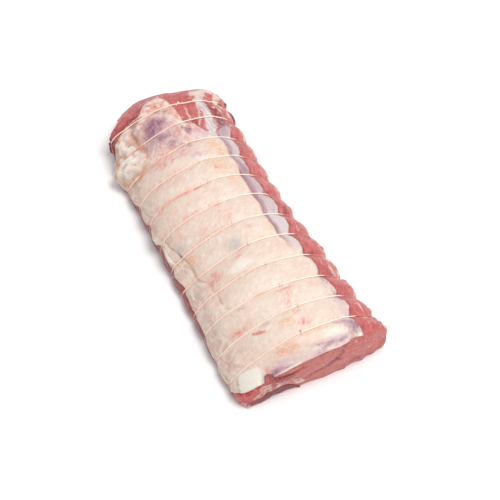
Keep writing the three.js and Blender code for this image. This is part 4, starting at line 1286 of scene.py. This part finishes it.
def lean_marks(points):
    """The lean's marks, from y and angle on its skin and from x and z on its near face."""
    x, z, y, angle, on_end = points[:, 0], points[:, 2], points[:, 3], points[:, 4], points[:, 5]
    face, skin, degrees = on_end * (y < 0), 1 - on_end, np.degrees(angle)
    inside = cap_inside(y, angle)
    marks = {"face": face, "end": on_end * (y > 0)}
    for k, (colour, places) in enumerate(LEAN_STAINS.items()):
        marks[colour] = strongest(stain, y, angle, places, 700 + 40 * k) * (1 - face)
    tendons = [line_share(y, angle, stops, 0.8 * width) for stops, width, _ in [TENDON, *SINEWS]]
    marks["tendon"] = smooth(tendons[0], 0.25, 0.7) * smooth(y, 150, 120)
    rim = bell((degrees - along(RIM_FAT, y)) * MM_PER_DEGREE, 2.2)
    rim = rim * smooth(rough_noise(y, angle * MEAN_ARM, size=7, seed=61), -0.3, 0.3)
    marks["cream"] = np.maximum(marks["cream"], rim * (1 - face) * 0.9)
    marks["outer"] = smooth(degrees, 30, 16) * smooth(degrees, 0, 6) * skin
    marks["left"] = smooth(degrees, 156, 172) * skin * smooth(y, -162, -152)
    # painted shadow: a dark line on the lean just beside the cap's edge
    marks["cap_edge_shadow"] = (inside < 0) * bell(inside, 1.6) * skin
    for k, (colour, places) in enumerate(FACE_SPOTS.items()):
        share = strongest(face_spot, x, z, places, 800 + 20 * k) * face
        marks[colour] = np.maximum(marks.get(colour, 0), share)

    to_seam = path_distance(x, z, EYE_SEAM)
    to_folds = [path_distance(x, z, line) for line in (FOLD_LINE, FOLD_ABOVE)]
    wave = 0.9 * rough_noise(x, z, size=6, seed=62)
    patchy = smooth(rough_noise(x, z / 2, size=4, seed=63), -0.5, 0.1)
    fold_strands = [bell(away + wave - offset, 0.5) * patchy for away in to_folds for offset in FOLD_STRANDS]
    ragged = smooth(rough_noise(x, y, size=4, seed=64), -0.3, 0.4) * (y > 88) * (x > -26)
    ragged = 0.7 * ragged * bell(inside + 2, 2.2) * skin
    on_face = [face * strand for strand in (*fold_strands, 0.45 * bell(to_seam + wave, 0.6))]
    marks["pale"] = np.maximum.reduce([marks["pale"], ragged, *tendons, *on_face])
    marks["eye"] = face * smooth(x, -14, -2) * smooth(to_seam * np.sign(30 - x), -1, 3)
    marks["seam"] = face * bell(to_seam - 1.2, 1.3) * smooth(x, -6, 10)
    marks["blush"] = face * bell(np.minimum(*to_folds), 3.2)
    return marks


# %% [markdown]
# ### The look of raw veal
#
# Veal is a pale rose red with a moist gloss. Light enters it deeply, so it has some subsurface scattering. On
# its skin the grain runs along the roast; on the cut face the fibres are seen end on, as a fine stipple.

# %% Lean material
FLESH, LIGHT_FLESH, DARK_FLESH = rgb(206, 96, 96), rgb(228, 144, 138), rgb(160, 54, 62)
EYE_FLESH, MEMBRANE, MEAT_FAT = rgb(211, 118, 109), rgb(238, 212, 206), rgb(242, 222, 206)
BRIGHT_FLESH, PURPLE = rgb(206, 68, 66), rgb(132, 84, 108)


def lean_material():
    material, layers, shader = new_material("veal lean")
    mark, cloud, ramp, times, broken = layers.mark, layers.noise, layers.ramp, layers.times, layers.broken
    grain = cloud(2.0, 5, 0.66, layers.stretched((1.0, 0.25, 1.0), (0, 0, math.radians(8))), 0.4)
    stipple = cloud(1.1, 4, 0.6)
    streak = cloud(2.4, 5, 0.65, layers.stretched((0.3, 1.0, 1.2), (0, math.radians(12), 0)), 0.6)
    off_eye = times(mark("face"), layers.sum(1.0, times(mark("eye"), 0.6), "SUBTRACT"))
    fleck = cloud(2.6, 3, 0.5, layers.stretched((1.0, 0.45, 1.0), (0, 0, math.radians(30))), 1.0)
    fleck = times(ramp(fleck, 0.62, 0.7), ramp(cloud(14, 2), 0.4, 0.6))
    crumb = times(ramp(cloud(1.3, 2, 0.5), 0.66, 0.72), ramp(cloud(9, 2), 0.45, 0.6))
    along_tendon = cloud(1.6, 4, 0.6, layers.stretched((1.0, 0.12, 1.0), (0, 0, math.radians(-8))))
    sheen = layers.over(rgb(240, 230, 228), rgb(204, 188, 194), ramp(along_tendon, 0.42, 0.66))
    colour = layers.lay(FLESH, [
        (LIGHT_FLESH, layers.mottled(8, 1.1), 0.5),
        (DARK_FLESH, layers.mottled(10, 1.5), 0.4),
        (rgb(196, 86, 84), mark("end"), 0.6),
        (rgb(214, 104, 94), mark("face"), 0.75),
        (EYE_FLESH, mark("eye"), 0.8),
        (rgb(222, 134, 120), broken("outer", 4, 0.8, 0.5), 0.75),
        (rgb(232, 160, 150), times(ramp(streak, 0.5, 0.68), off_eye), 0.6),
        (rgb(158, 60, 64), times(ramp(streak, 0.46, 0.3), off_eye), 0.6),
        (rgb(222, 160, 156), broken("blush", 3, 0.6, 0.5), 0.55),
        (rgb(140, 48, 54), mark("seam"), 0.6),
        (BRIGHT_FLESH, broken("bright", 5, 0.4, 0.5), 0.75),
        # dark red: partly darker flesh, partly painted shadow at the far left and at the foot of the cut face
        (rgb(146, 48, 56), broken("dark", 3, 0.6, 0.5), 0.85),
        (rgb(136, 66, 68), mark("left"), 0.85),
        # painted shadow on the lean beside the cap's edge
        (rgb(148, 44, 54), mark("cap_edge_shadow"), 0.42),
        (rgb(236, 162, 154), ramp(grain, 0.5, 0.72), 0.5),
        (rgb(152, 46, 56), ramp(grain, 0.48, 0.3), 0.5),
        (rgb(234, 168, 158), ramp(stipple, 0.56, 0.7), 0.3),
        (MEMBRANE, fleck, 0.7),
        (rgb(240, 190, 178), crumb, 0.7),
        (PURPLE, broken("violet", 4, 0.5, 0.45), 0.7),
        (MEMBRANE, broken("pale", 3, 0.5, 0.35), 0.88),
        (sheen, mark("tendon"), 0.85),
        (MEAT_FAT, broken("cream", 3, 0.6, 0.35), 0.92)])

    height = layers.sum(times(grain, 0.6), times(stipple, 0.4))
    coarse = layers.bump(layers.mottled(4, 0.9), 0.6, 0.5)
    layers.feed(shader, Base_Color=colour, Normal=layers.bump(height, 0.4, 0.7, coarse),
                Roughness=ramp(cloud(5, 3), 0.3, 0.7, 0.3, 0.5),
                Coat_Weight=layers.sum(0.2, times(mark("pale"), 0.3)), IOR=1.4, Coat_Roughness=0.22,
                Subsurface_Weight=0.12, Subsurface_Scale=0.0012, Subsurface_Radius=(1.0, 0.35, 0.25))
    return material


def make_lean():
    upper, lower = lean_sheets()
    points, faces = body_between(upper, lower, 40, 22, lean_end)
    lean = make_mesh("lean_muscle", points[:, :3], faces, lean_marks(points), lean_material())
    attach(lean, "root")
    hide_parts("lean_loin")
    return lean


lean = make_lean()

# %% [markdown]
# ## The folded flank muscle
#
# A thin muscle, the flank, is folded under the left side. Its edge shows as dark red slivers below the fat and
# as a dark strip at the foot of the near face. Its outer sheet follows the section from the left side to the
# underside, and its top is the same surface that the lean rests on, less a gap.

# %% Flank muscle
FLAP_COLUMNS = 64
SCAN_STEPS = 90


def crossing(y, low, high, value_of):
    """The angle between low and high where value_of(y, angle) changes sign, scanned and interpolated."""
    scan = np.linspace(low, high, SCAN_STEPS)
    grid_y, grid = np.meshgrid(y, scan, indexing="ij")
    value = value_of(grid_y, grid)
    first = np.argmax(np.sign(value[:, 1:]) != np.sign(value[:, :1]), axis=1)
    row = np.arange(len(y))
    before, after = value[row, first], value[row, first + 1]
    return scan[first] + (scan[first + 1] - scan[first]) * before / (before - after)


def over_flap(y, angle):
    point = surface(y, angle, swell(y, angle))
    return point[..., 2] - flap_top(y, point[..., 0])


def past_tip(y, angle):
    tip = along(FLAP_MIDDLE_X, y) + along(FLAP_HALF_WIDTH, y)
    return section(y, angle)[0] - tip


def flap_sheets():
    rows = loop_rows(NEAR_END, FAR_END)
    outer = crossing(rows, math.radians(150), math.radians(225), over_flap)
    tip = crossing(rows, math.radians(225), math.radians(300), past_tip)
    share = np.linspace(0, 1, FLAP_COLUMNS)[None, :]
    y = np.repeat(rows[:, None], FLAP_COLUMNS, axis=1)
    angle = tip[:, None] * (1 - share) + outer[:, None] * share
    sliver = 0.5 * rough_noise(y / 2.5, angle * MEAN_ARM, size=2.5, seed=71)
    edge_fade = smooth(share, 0, 0.1) * smooth(share, 1, 0.94)
    lower = channels(y, angle, swell(y, angle) + sliver * edge_fade)
    right_x, left_x = lower[:, :1, 0], lower[:, -1:, 0]
    x = right_x + (left_x - right_x) * share
    z = np.maximum(flap_top(y, x) - PIECE_GAP / 2, 0)
    upper = np.stack([x, bent_y(y, x, z), z, y, angle], -1)
    upper[:, [0, -1], :3] = lower[:, [0, -1], :3]
    return upper, lower


def flap_end(sheet, share, near):
    uneven = rough_noise(sheet[..., 0], sheet[..., 2], size=4, seed=72)
    sheet[..., 1] += (-1 if near else 1) * dome(share) * (0.6 + 0.5 * uneven)
    return sheet


def flap_marks(points):
    y, angle, on_end = points[:, 3], points[:, 4], points[:, 5]
    arc = angle * MEAN_ARM
    streak = smooth(rough_noise(y / 4, arc, size=2.2, seed=73), 0.1, 0.5)
    wet = smooth(rough_noise(y, arc, size=16, seed=74), 0.0, 0.4)
    return {"membrane": streak * (1 - on_end) * 0.8, "wet": wet, "face": on_end * (y < 0)}


def flap_material():
    material, layers, shader = new_material("flank muscle")
    mark, ramp = layers.mark, layers.ramp
    grain = layers.noise(1.5, 5, 0.6, layers.stretched((1.0, 0.22, 1.0), (0, 0, math.radians(-6))))
    colour = layers.lay(rgb(150, 62, 66), [
        (rgb(186, 96, 94), layers.mottled(7, 1.0), 0.6),
        (rgb(132, 34, 40), mark("wet"), 0.6),
        (rgb(206, 132, 126), ramp(grain, 0.5, 0.7), 0.4),
        (rgb(112, 36, 44), ramp(grain, 0.48, 0.3), 0.4),
        (rgb(222, 184, 180), layers.broken("membrane", 3, 0.5, 0.35), 0.6)])
    layers.feed(shader, Base_Color=colour, Normal=layers.bump(grain, 0.5, 0.8),
                Roughness=ramp(layers.noise(5, 3), 0.3, 0.7, 0.3, 0.5), IOR=1.4, Coat_Weight=0.25,
                Coat_Roughness=0.22, Subsurface_Weight=0.1, Subsurface_Scale=0.002)
    return material


def make_flap():
    upper, lower = flap_sheets()
    points, faces = body_between(upper, lower, 8, 8, flap_end)
    flap = make_mesh("flank_muscle", points[:, :3], faces, flap_marks(points), flap_material())
    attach(flap, "root")
    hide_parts("flank_flap")
    return flap


flap = make_flap()

# %% [markdown]
# ## The twine
#
# Each loop is one closed run of cotton twine, drawn tight. A taut string bridges small dents, so its height at
# a place is the highest of the heights around it, each lessened by the drop of an arc. The twine itself is
# three twisted strands: its radius swells three times round, and that pattern turns as it runs along.

# %% Path of a loop
TWINE_RADIUS = 0.58
STRANDS, STRAND_PITCH, STRAND_DEPTH = 3, 4.5, 0.16
TWINE_STEPS, TWINE_SIDES = 760, 12
FINE_STEPS = 2400
BRIDGE_RADIUS = 60.0  # the roast's mean radius, which sets how far a taut string can bridge
BRIDGE_REACH = 9.0
# Loops soaked with blood between two angles, by number.
RED_RUNS = {10: (126, 158), 9: (116, 152), 7: (104, 150)}
KNOT_ANGLES = [95, 83, 86, 88, 95, 98, 96, 94, 94, 97, 90, 73]


def skin_height(y, angle):
    """Height of the outermost skin, cap or lean."""
    return np.where(cap_inside(y, angle) > 0, cap_top(y, angle), lean_height(y, angle))


def taut(height, step):
    """The highest of the heights within reach, each less the drop s^2 / 2R of an arc of radius R."""
    best = height.copy()
    for k in range(1, int(BRIDGE_REACH / step)):
        drop = (k * step) ** 2 / (2 * BRIDGE_RADIUS)
        best = np.maximum(best, np.maximum(np.roll(height, k), np.roll(height, -k)) - drop)
    return sum(np.roll(best, k) for k in range(-3, 4)) / 7


def loop_path(index):
    """Evenly spaced centres of the loop, its outward directions, angles and length."""
    y = FIRST_LOOP + PITCH * index
    angle = np.linspace(0, 2 * math.pi, FINE_STEPS, endpoint=False)
    rows = np.full(FINE_STEPS, y)
    height = taut(skin_height(rows, angle), 400.0 / FINE_STEPS)
    degrees = np.degrees(angle)
    sunk = 0.45 * smooth(degrees, 95, 120) * smooth(degrees, 200, 180)
    sunk = sunk + 0.5 * smooth(degrees, 46, 36) * smooth(degrees, 4, 16)
    point = surface(rows, angle, height + TWINE_RADIUS - sunk)
    point[:, 1] += 0.35 * noise(angle * MEAN_ARM, rows, size=9, seed=80 + index)
    point[:, 2] = np.maximum(point[:, 2], TWINE_RADIUS * (1 + STRAND_DEPTH))
    ring = np.concatenate([point, point[:1]])
    run = np.concatenate([[0], np.cumsum(np.linalg.norm(np.diff(ring, axis=0), axis=1))])
    even = np.linspace(0, run[-1], TWINE_STEPS, endpoint=False)
    centre = np.stack([np.interp(even, run, ring[:, i]) for i in range(3)], -1)
    angle = np.interp(even, run, np.append(angle, 2 * math.pi))
    nx, nz = section_normal(np.full(TWINE_STEPS, y), angle)
    return centre, np.stack([nx, 0 * nx, nz], -1), angle, run[-1]


def tube(centre, out, across, radius, closed):
    """Points and quads of a tube: centre + radius * (cos turn * out + sin turn * across)."""
    turn = np.linspace(0, 2 * math.pi, radius.shape[1], endpoint=False)
    ring = np.cos(turn)[:, None] * out[:, None, :] + np.sin(turn)[:, None] * across[:, None, :]
    points = centre[:, None, :] + radius[..., None] * ring
    points = np.concatenate([points, points[:, :1]], axis=1)
    if closed:
        points = np.concatenate([points, points[:1]])
    return points.reshape(-1, 3), grid_faces(points.shape[0], points.shape[1], turned=True)


def unit(vectors):
    """The vectors divided by their lengths."""
    return vectors / np.linalg.norm(vectors, axis=1, keepdims=True)


def frame_along(centre, out):
    """Unit directions square to the path: out made square to the tangent, and across both."""
    tangent = unit(np.gradient(centre, axis=0))
    out = unit(out - (out * tangent).sum(1, keepdims=True) * tangent)
    return out, np.cross(tangent, out)


# %% [markdown]
# ### Knots and tails
#
# Every loop is tied once on top. The knot is a small trefoil, which is the shape of an overhand knot, pulled
# flat. Two short tails stick out of it, cut a few millimetres long, thinning where the strands come loose.

# %% Knots
KNOT_SIZE, KNOT_TUBE = 0.5, 0.42
TAIL_LENGTHS = (3.8, 2.8)
KNOT_LIFT = 0.7  # millimetres by which the knot stands above the middle of the twine
BLOOD_ON_KNOT = 0.35
KNOT_STEPS, TAIL_STEPS, KNOT_SIDES = 96, 24, 8


def knot_parts(spot, along_loop, out, index):
    """Tubes of one knot: the trefoil (sin t + 2 sin 2t, cos t - 2 cos 2t, -sin 3t) and two curved tails."""
    across = np.cross(out, along_loop)
    t = np.linspace(0, 2 * math.pi, KNOT_STEPS, endpoint=False)
    flat = np.stack([np.sin(t) + 2 * np.sin(2 * t), np.cos(t) - 2 * np.cos(2 * t), -0.8 * np.sin(3 * t)], -1)
    centre = spot + KNOT_SIZE * flat @ np.stack([0.9 * along_loop, 0.7 * across, out])
    ahead, behind = np.roll(centre, -1, axis=0), np.roll(centre, 1, axis=0)
    tangent = unit(ahead - behind)
    square = out - (tangent @ out)[:, None] * tangent
    square = unit(square)
    yield tube(centre, square, np.cross(tangent, square), np.full((KNOT_STEPS, KNOT_SIDES), KNOT_TUBE), True)
    lean_of_tails = np.random.default_rng(90 + index).uniform(-0.5, 0.5, 2)
    for side, length, lean_of_tail in zip((1, -1), TAIL_LENGTHS, lean_of_tails):
        s = np.linspace(0, 1, TAIL_STEPS)[:, None]
        away = across * side * 0.8 + along_loop * (0.5 * side + lean_of_tail)
        path = spot + length * s * away + out * (0.9 * np.sin(math.pi * s) + 0.5 - 0.7 * s)
        square, side_way = frame_along(path, np.repeat(out[None], TAIL_STEPS, axis=0))
        thin = KNOT_TUBE * (1 - s**4) * (0.85 + 0.15 * np.cos(9 * s))
        thin[0] = 0
        yield tube(path, square, side_way, np.repeat(thin, KNOT_SIDES, axis=1), False)


def twine_material():
    material, layers, shader = new_material("cotton twine")
    fibre = layers.noise(0.5, 4, 0.6)
    soaked = layers.times(layers.mark("stain"), layers.ramp(layers.noise(5, 3), 0.25, 0.6, 0.55, 1.0))
    colour = layers.lay(rgb(255, 249, 238, 1.0), [
        (rgb(246, 232, 212, 1.0), fibre, 0.4),
        # painted shade in the hollows between the twisted strands
        (rgb(216, 190, 166, 1.0), layers.mark("shade_between_strands"), 0.35),
        (rgb(250, 208, 182, 1.0), soaked, 0.75),
        (rgb(236, 140, 116, 1.0), layers.mark("blood"), 0.75),
        (rgb(196, 100, 96), layers.mark("sunk"), 0.8)])
    layers.feed(shader, Base_Color=colour, Normal=layers.bump(fibre, 0.12, 0.8), Roughness=0.85,
                Sheen_Weight=0.2, Sheen_Roughness=0.5)
    return material


def twine_marks(index, angle):
    """Shares along a loop that are stained, soaked with blood, and sunk beside the lean."""
    degrees = np.degrees(angle)
    patchy = rough_noise(degrees, np.full_like(degrees, index * 7.0), size=14, seed=95)
    edge = float(along(CAP_RIGHT_ANGLE, FIRST_LOOP + PITCH * index))
    over_lean = smooth(degrees, edge - 1, edge - 7)
    stained = smooth(degrees, 78, 108) * smooth(degrees, 230, 190) * (0.75 + 0.5 * patchy)
    stained = np.maximum(stained, over_lean + 0.2 * smooth(patchy, 0, 0.5))
    blood = smooth(patchy, 0.35, 0.75) * smooth(degrees, 85, 120) * smooth(degrees, 200, 180)
    if index in RED_RUNS:
        first, last = RED_RUNS[index]
        run = smooth(degrees, first, first + 10) * smooth(degrees, last, last - 8)
        blood = np.maximum(blood, run * (0.8 + 0.4 * patchy))
    sunk = np.maximum(over_lean * smooth(degrees, 4, 10), 0.8 * smooth(degrees, 166, 176))
    return {"stain": stained, "blood": blood, "sunk": sunk}


def make_twine(index, material):
    """One loop with its knot: a closed tube whose radius swells with the strands, and the knot's tubes."""
    centre, out, angle, length = loop_path(index)
    closed_centre = np.concatenate([centre[-1:], centre, centre[:1]])
    tangent = unit(closed_centre[2:] - closed_centre[:-2])
    out = unit(out - (out * tangent).sum(1, keepdims=True) * tangent)
    turns = round(length / STRAND_PITCH)
    run = np.arange(TWINE_STEPS)[:, None] / TWINE_STEPS
    turn = np.linspace(0, 2 * math.pi, TWINE_SIDES, endpoint=False)[None, :]
    strand = np.abs(np.cos(0.5 * STRANDS * (turn - 2 * math.pi * turns * run)))
    radius = TWINE_RADIUS * (1 - STRAND_DEPTH + STRAND_DEPTH * strand)
    points, faces = tube(centre, out, np.cross(tangent, out), radius, True)

    marks = {}
    for mark, values in twine_marks(index, angle).items():
        values = np.append(values, values[:1])[:, None]
        marks[mark] = np.repeat(values, TWINE_SIDES + 1, axis=1).ravel()
    strand = np.concatenate([strand, strand[:, :1]], axis=1)
    strand = np.concatenate([strand, strand[:1]])
    # painted shade between the strands: 1 in the hollow between two strands, 0 on a strand's top
    marks["shade_between_strands"] = 1 - strand.ravel()

    all_points, all_faces, count = [points], [faces], len(points)
    spot_index = int(np.argmin(np.abs(np.degrees(angle) - KNOT_ANGLES[index])))
    spot = centre[spot_index] + out[spot_index] * KNOT_LIFT
    for part_points, part_faces in knot_parts(spot, tangent[spot_index], out[spot_index], index):
        all_points.append(part_points)
        all_faces.append(part_faces + count)
        count += len(part_points)
    for mark, values in marks.items():
        on_knot = BLOOD_ON_KNOT if mark == "blood" else 0.0
        marks[mark] = np.append(values, np.full(count - len(values), on_knot))
    name = f"twine_{index + 1:02d}"
    piece = make_mesh(name + "_cord", np.concatenate(all_points), np.concatenate(all_faces), marks, material)
    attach(piece, "root")
    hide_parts(name)
    return length


TWINE = twine_material()
twine_lengths = [round(float(make_twine(index, TWINE))) for index in range(LOOPS)]
print("lengths round the loops in mm:", twine_lengths)

# %% [markdown]
# ## Floor, light and a last measurement
#
# The roast lies on a plain pale surface under a broad soft light from above and a bright, even surrounding.
# Last, the finished model's box is written beside the CAD model's, to show that the looks kept to the size.

# %% Stage
def add_floor():
    mesh = bpy.data.meshes.new("floor")
    mesh.from_pydata([(-3, -3, 0), (3, -3, 0), (3, 3, 0), (-3, 3, 0)], [], [(0, 1, 2, 3)])
    material, layers, shader = new_material("pale counter")
    colour = layers.over(rgb(248, 248, 248, 1.0), rgb(251, 251, 251, 1.0), layers.noise(60, 2))
    layers.feed(shader, Base_Color=colour, Roughness=0.8)
    mesh.materials.append(material)
    floor = link("floor", mesh)
    floor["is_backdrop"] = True


def add_light(name, place, size, energy, colour):
    """A square light of the given size in metres, at place, aimed at the middle of the roast."""
    data = bpy.data.lights.new(name, "AREA")
    data.size = size
    data.energy = energy
    data.color = colour
    light = link(name, data)
    light.location = place
    light.rotation_euler = (-Vector(place)).to_track_quat("-Z", "Y").to_euler()


def add_surroundings(strength):
    world = bpy.data.worlds.new("soft surroundings")
    world.use_nodes = True
    world.node_tree.nodes["Background"].inputs["Color"].default_value = (1.0, 1.0, 1.0, 1.0)
    world.node_tree.nodes["Background"].inputs["Strength"].default_value = strength
    bpy.context.scene.world = world


add_floor()
add_light("key", (0.35, -0.25, 1.5), 0.7, 15.0, (1.0, 0.99, 0.98))
add_surroundings(0.66)
bpy.context.scene.view_settings.view_transform = "Standard"

# %% Measure and finish
boxes = [[list(map(float, corner)) for corner in box] for box in (CAD_BOX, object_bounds())]
print("boxes in metres:", boxes)
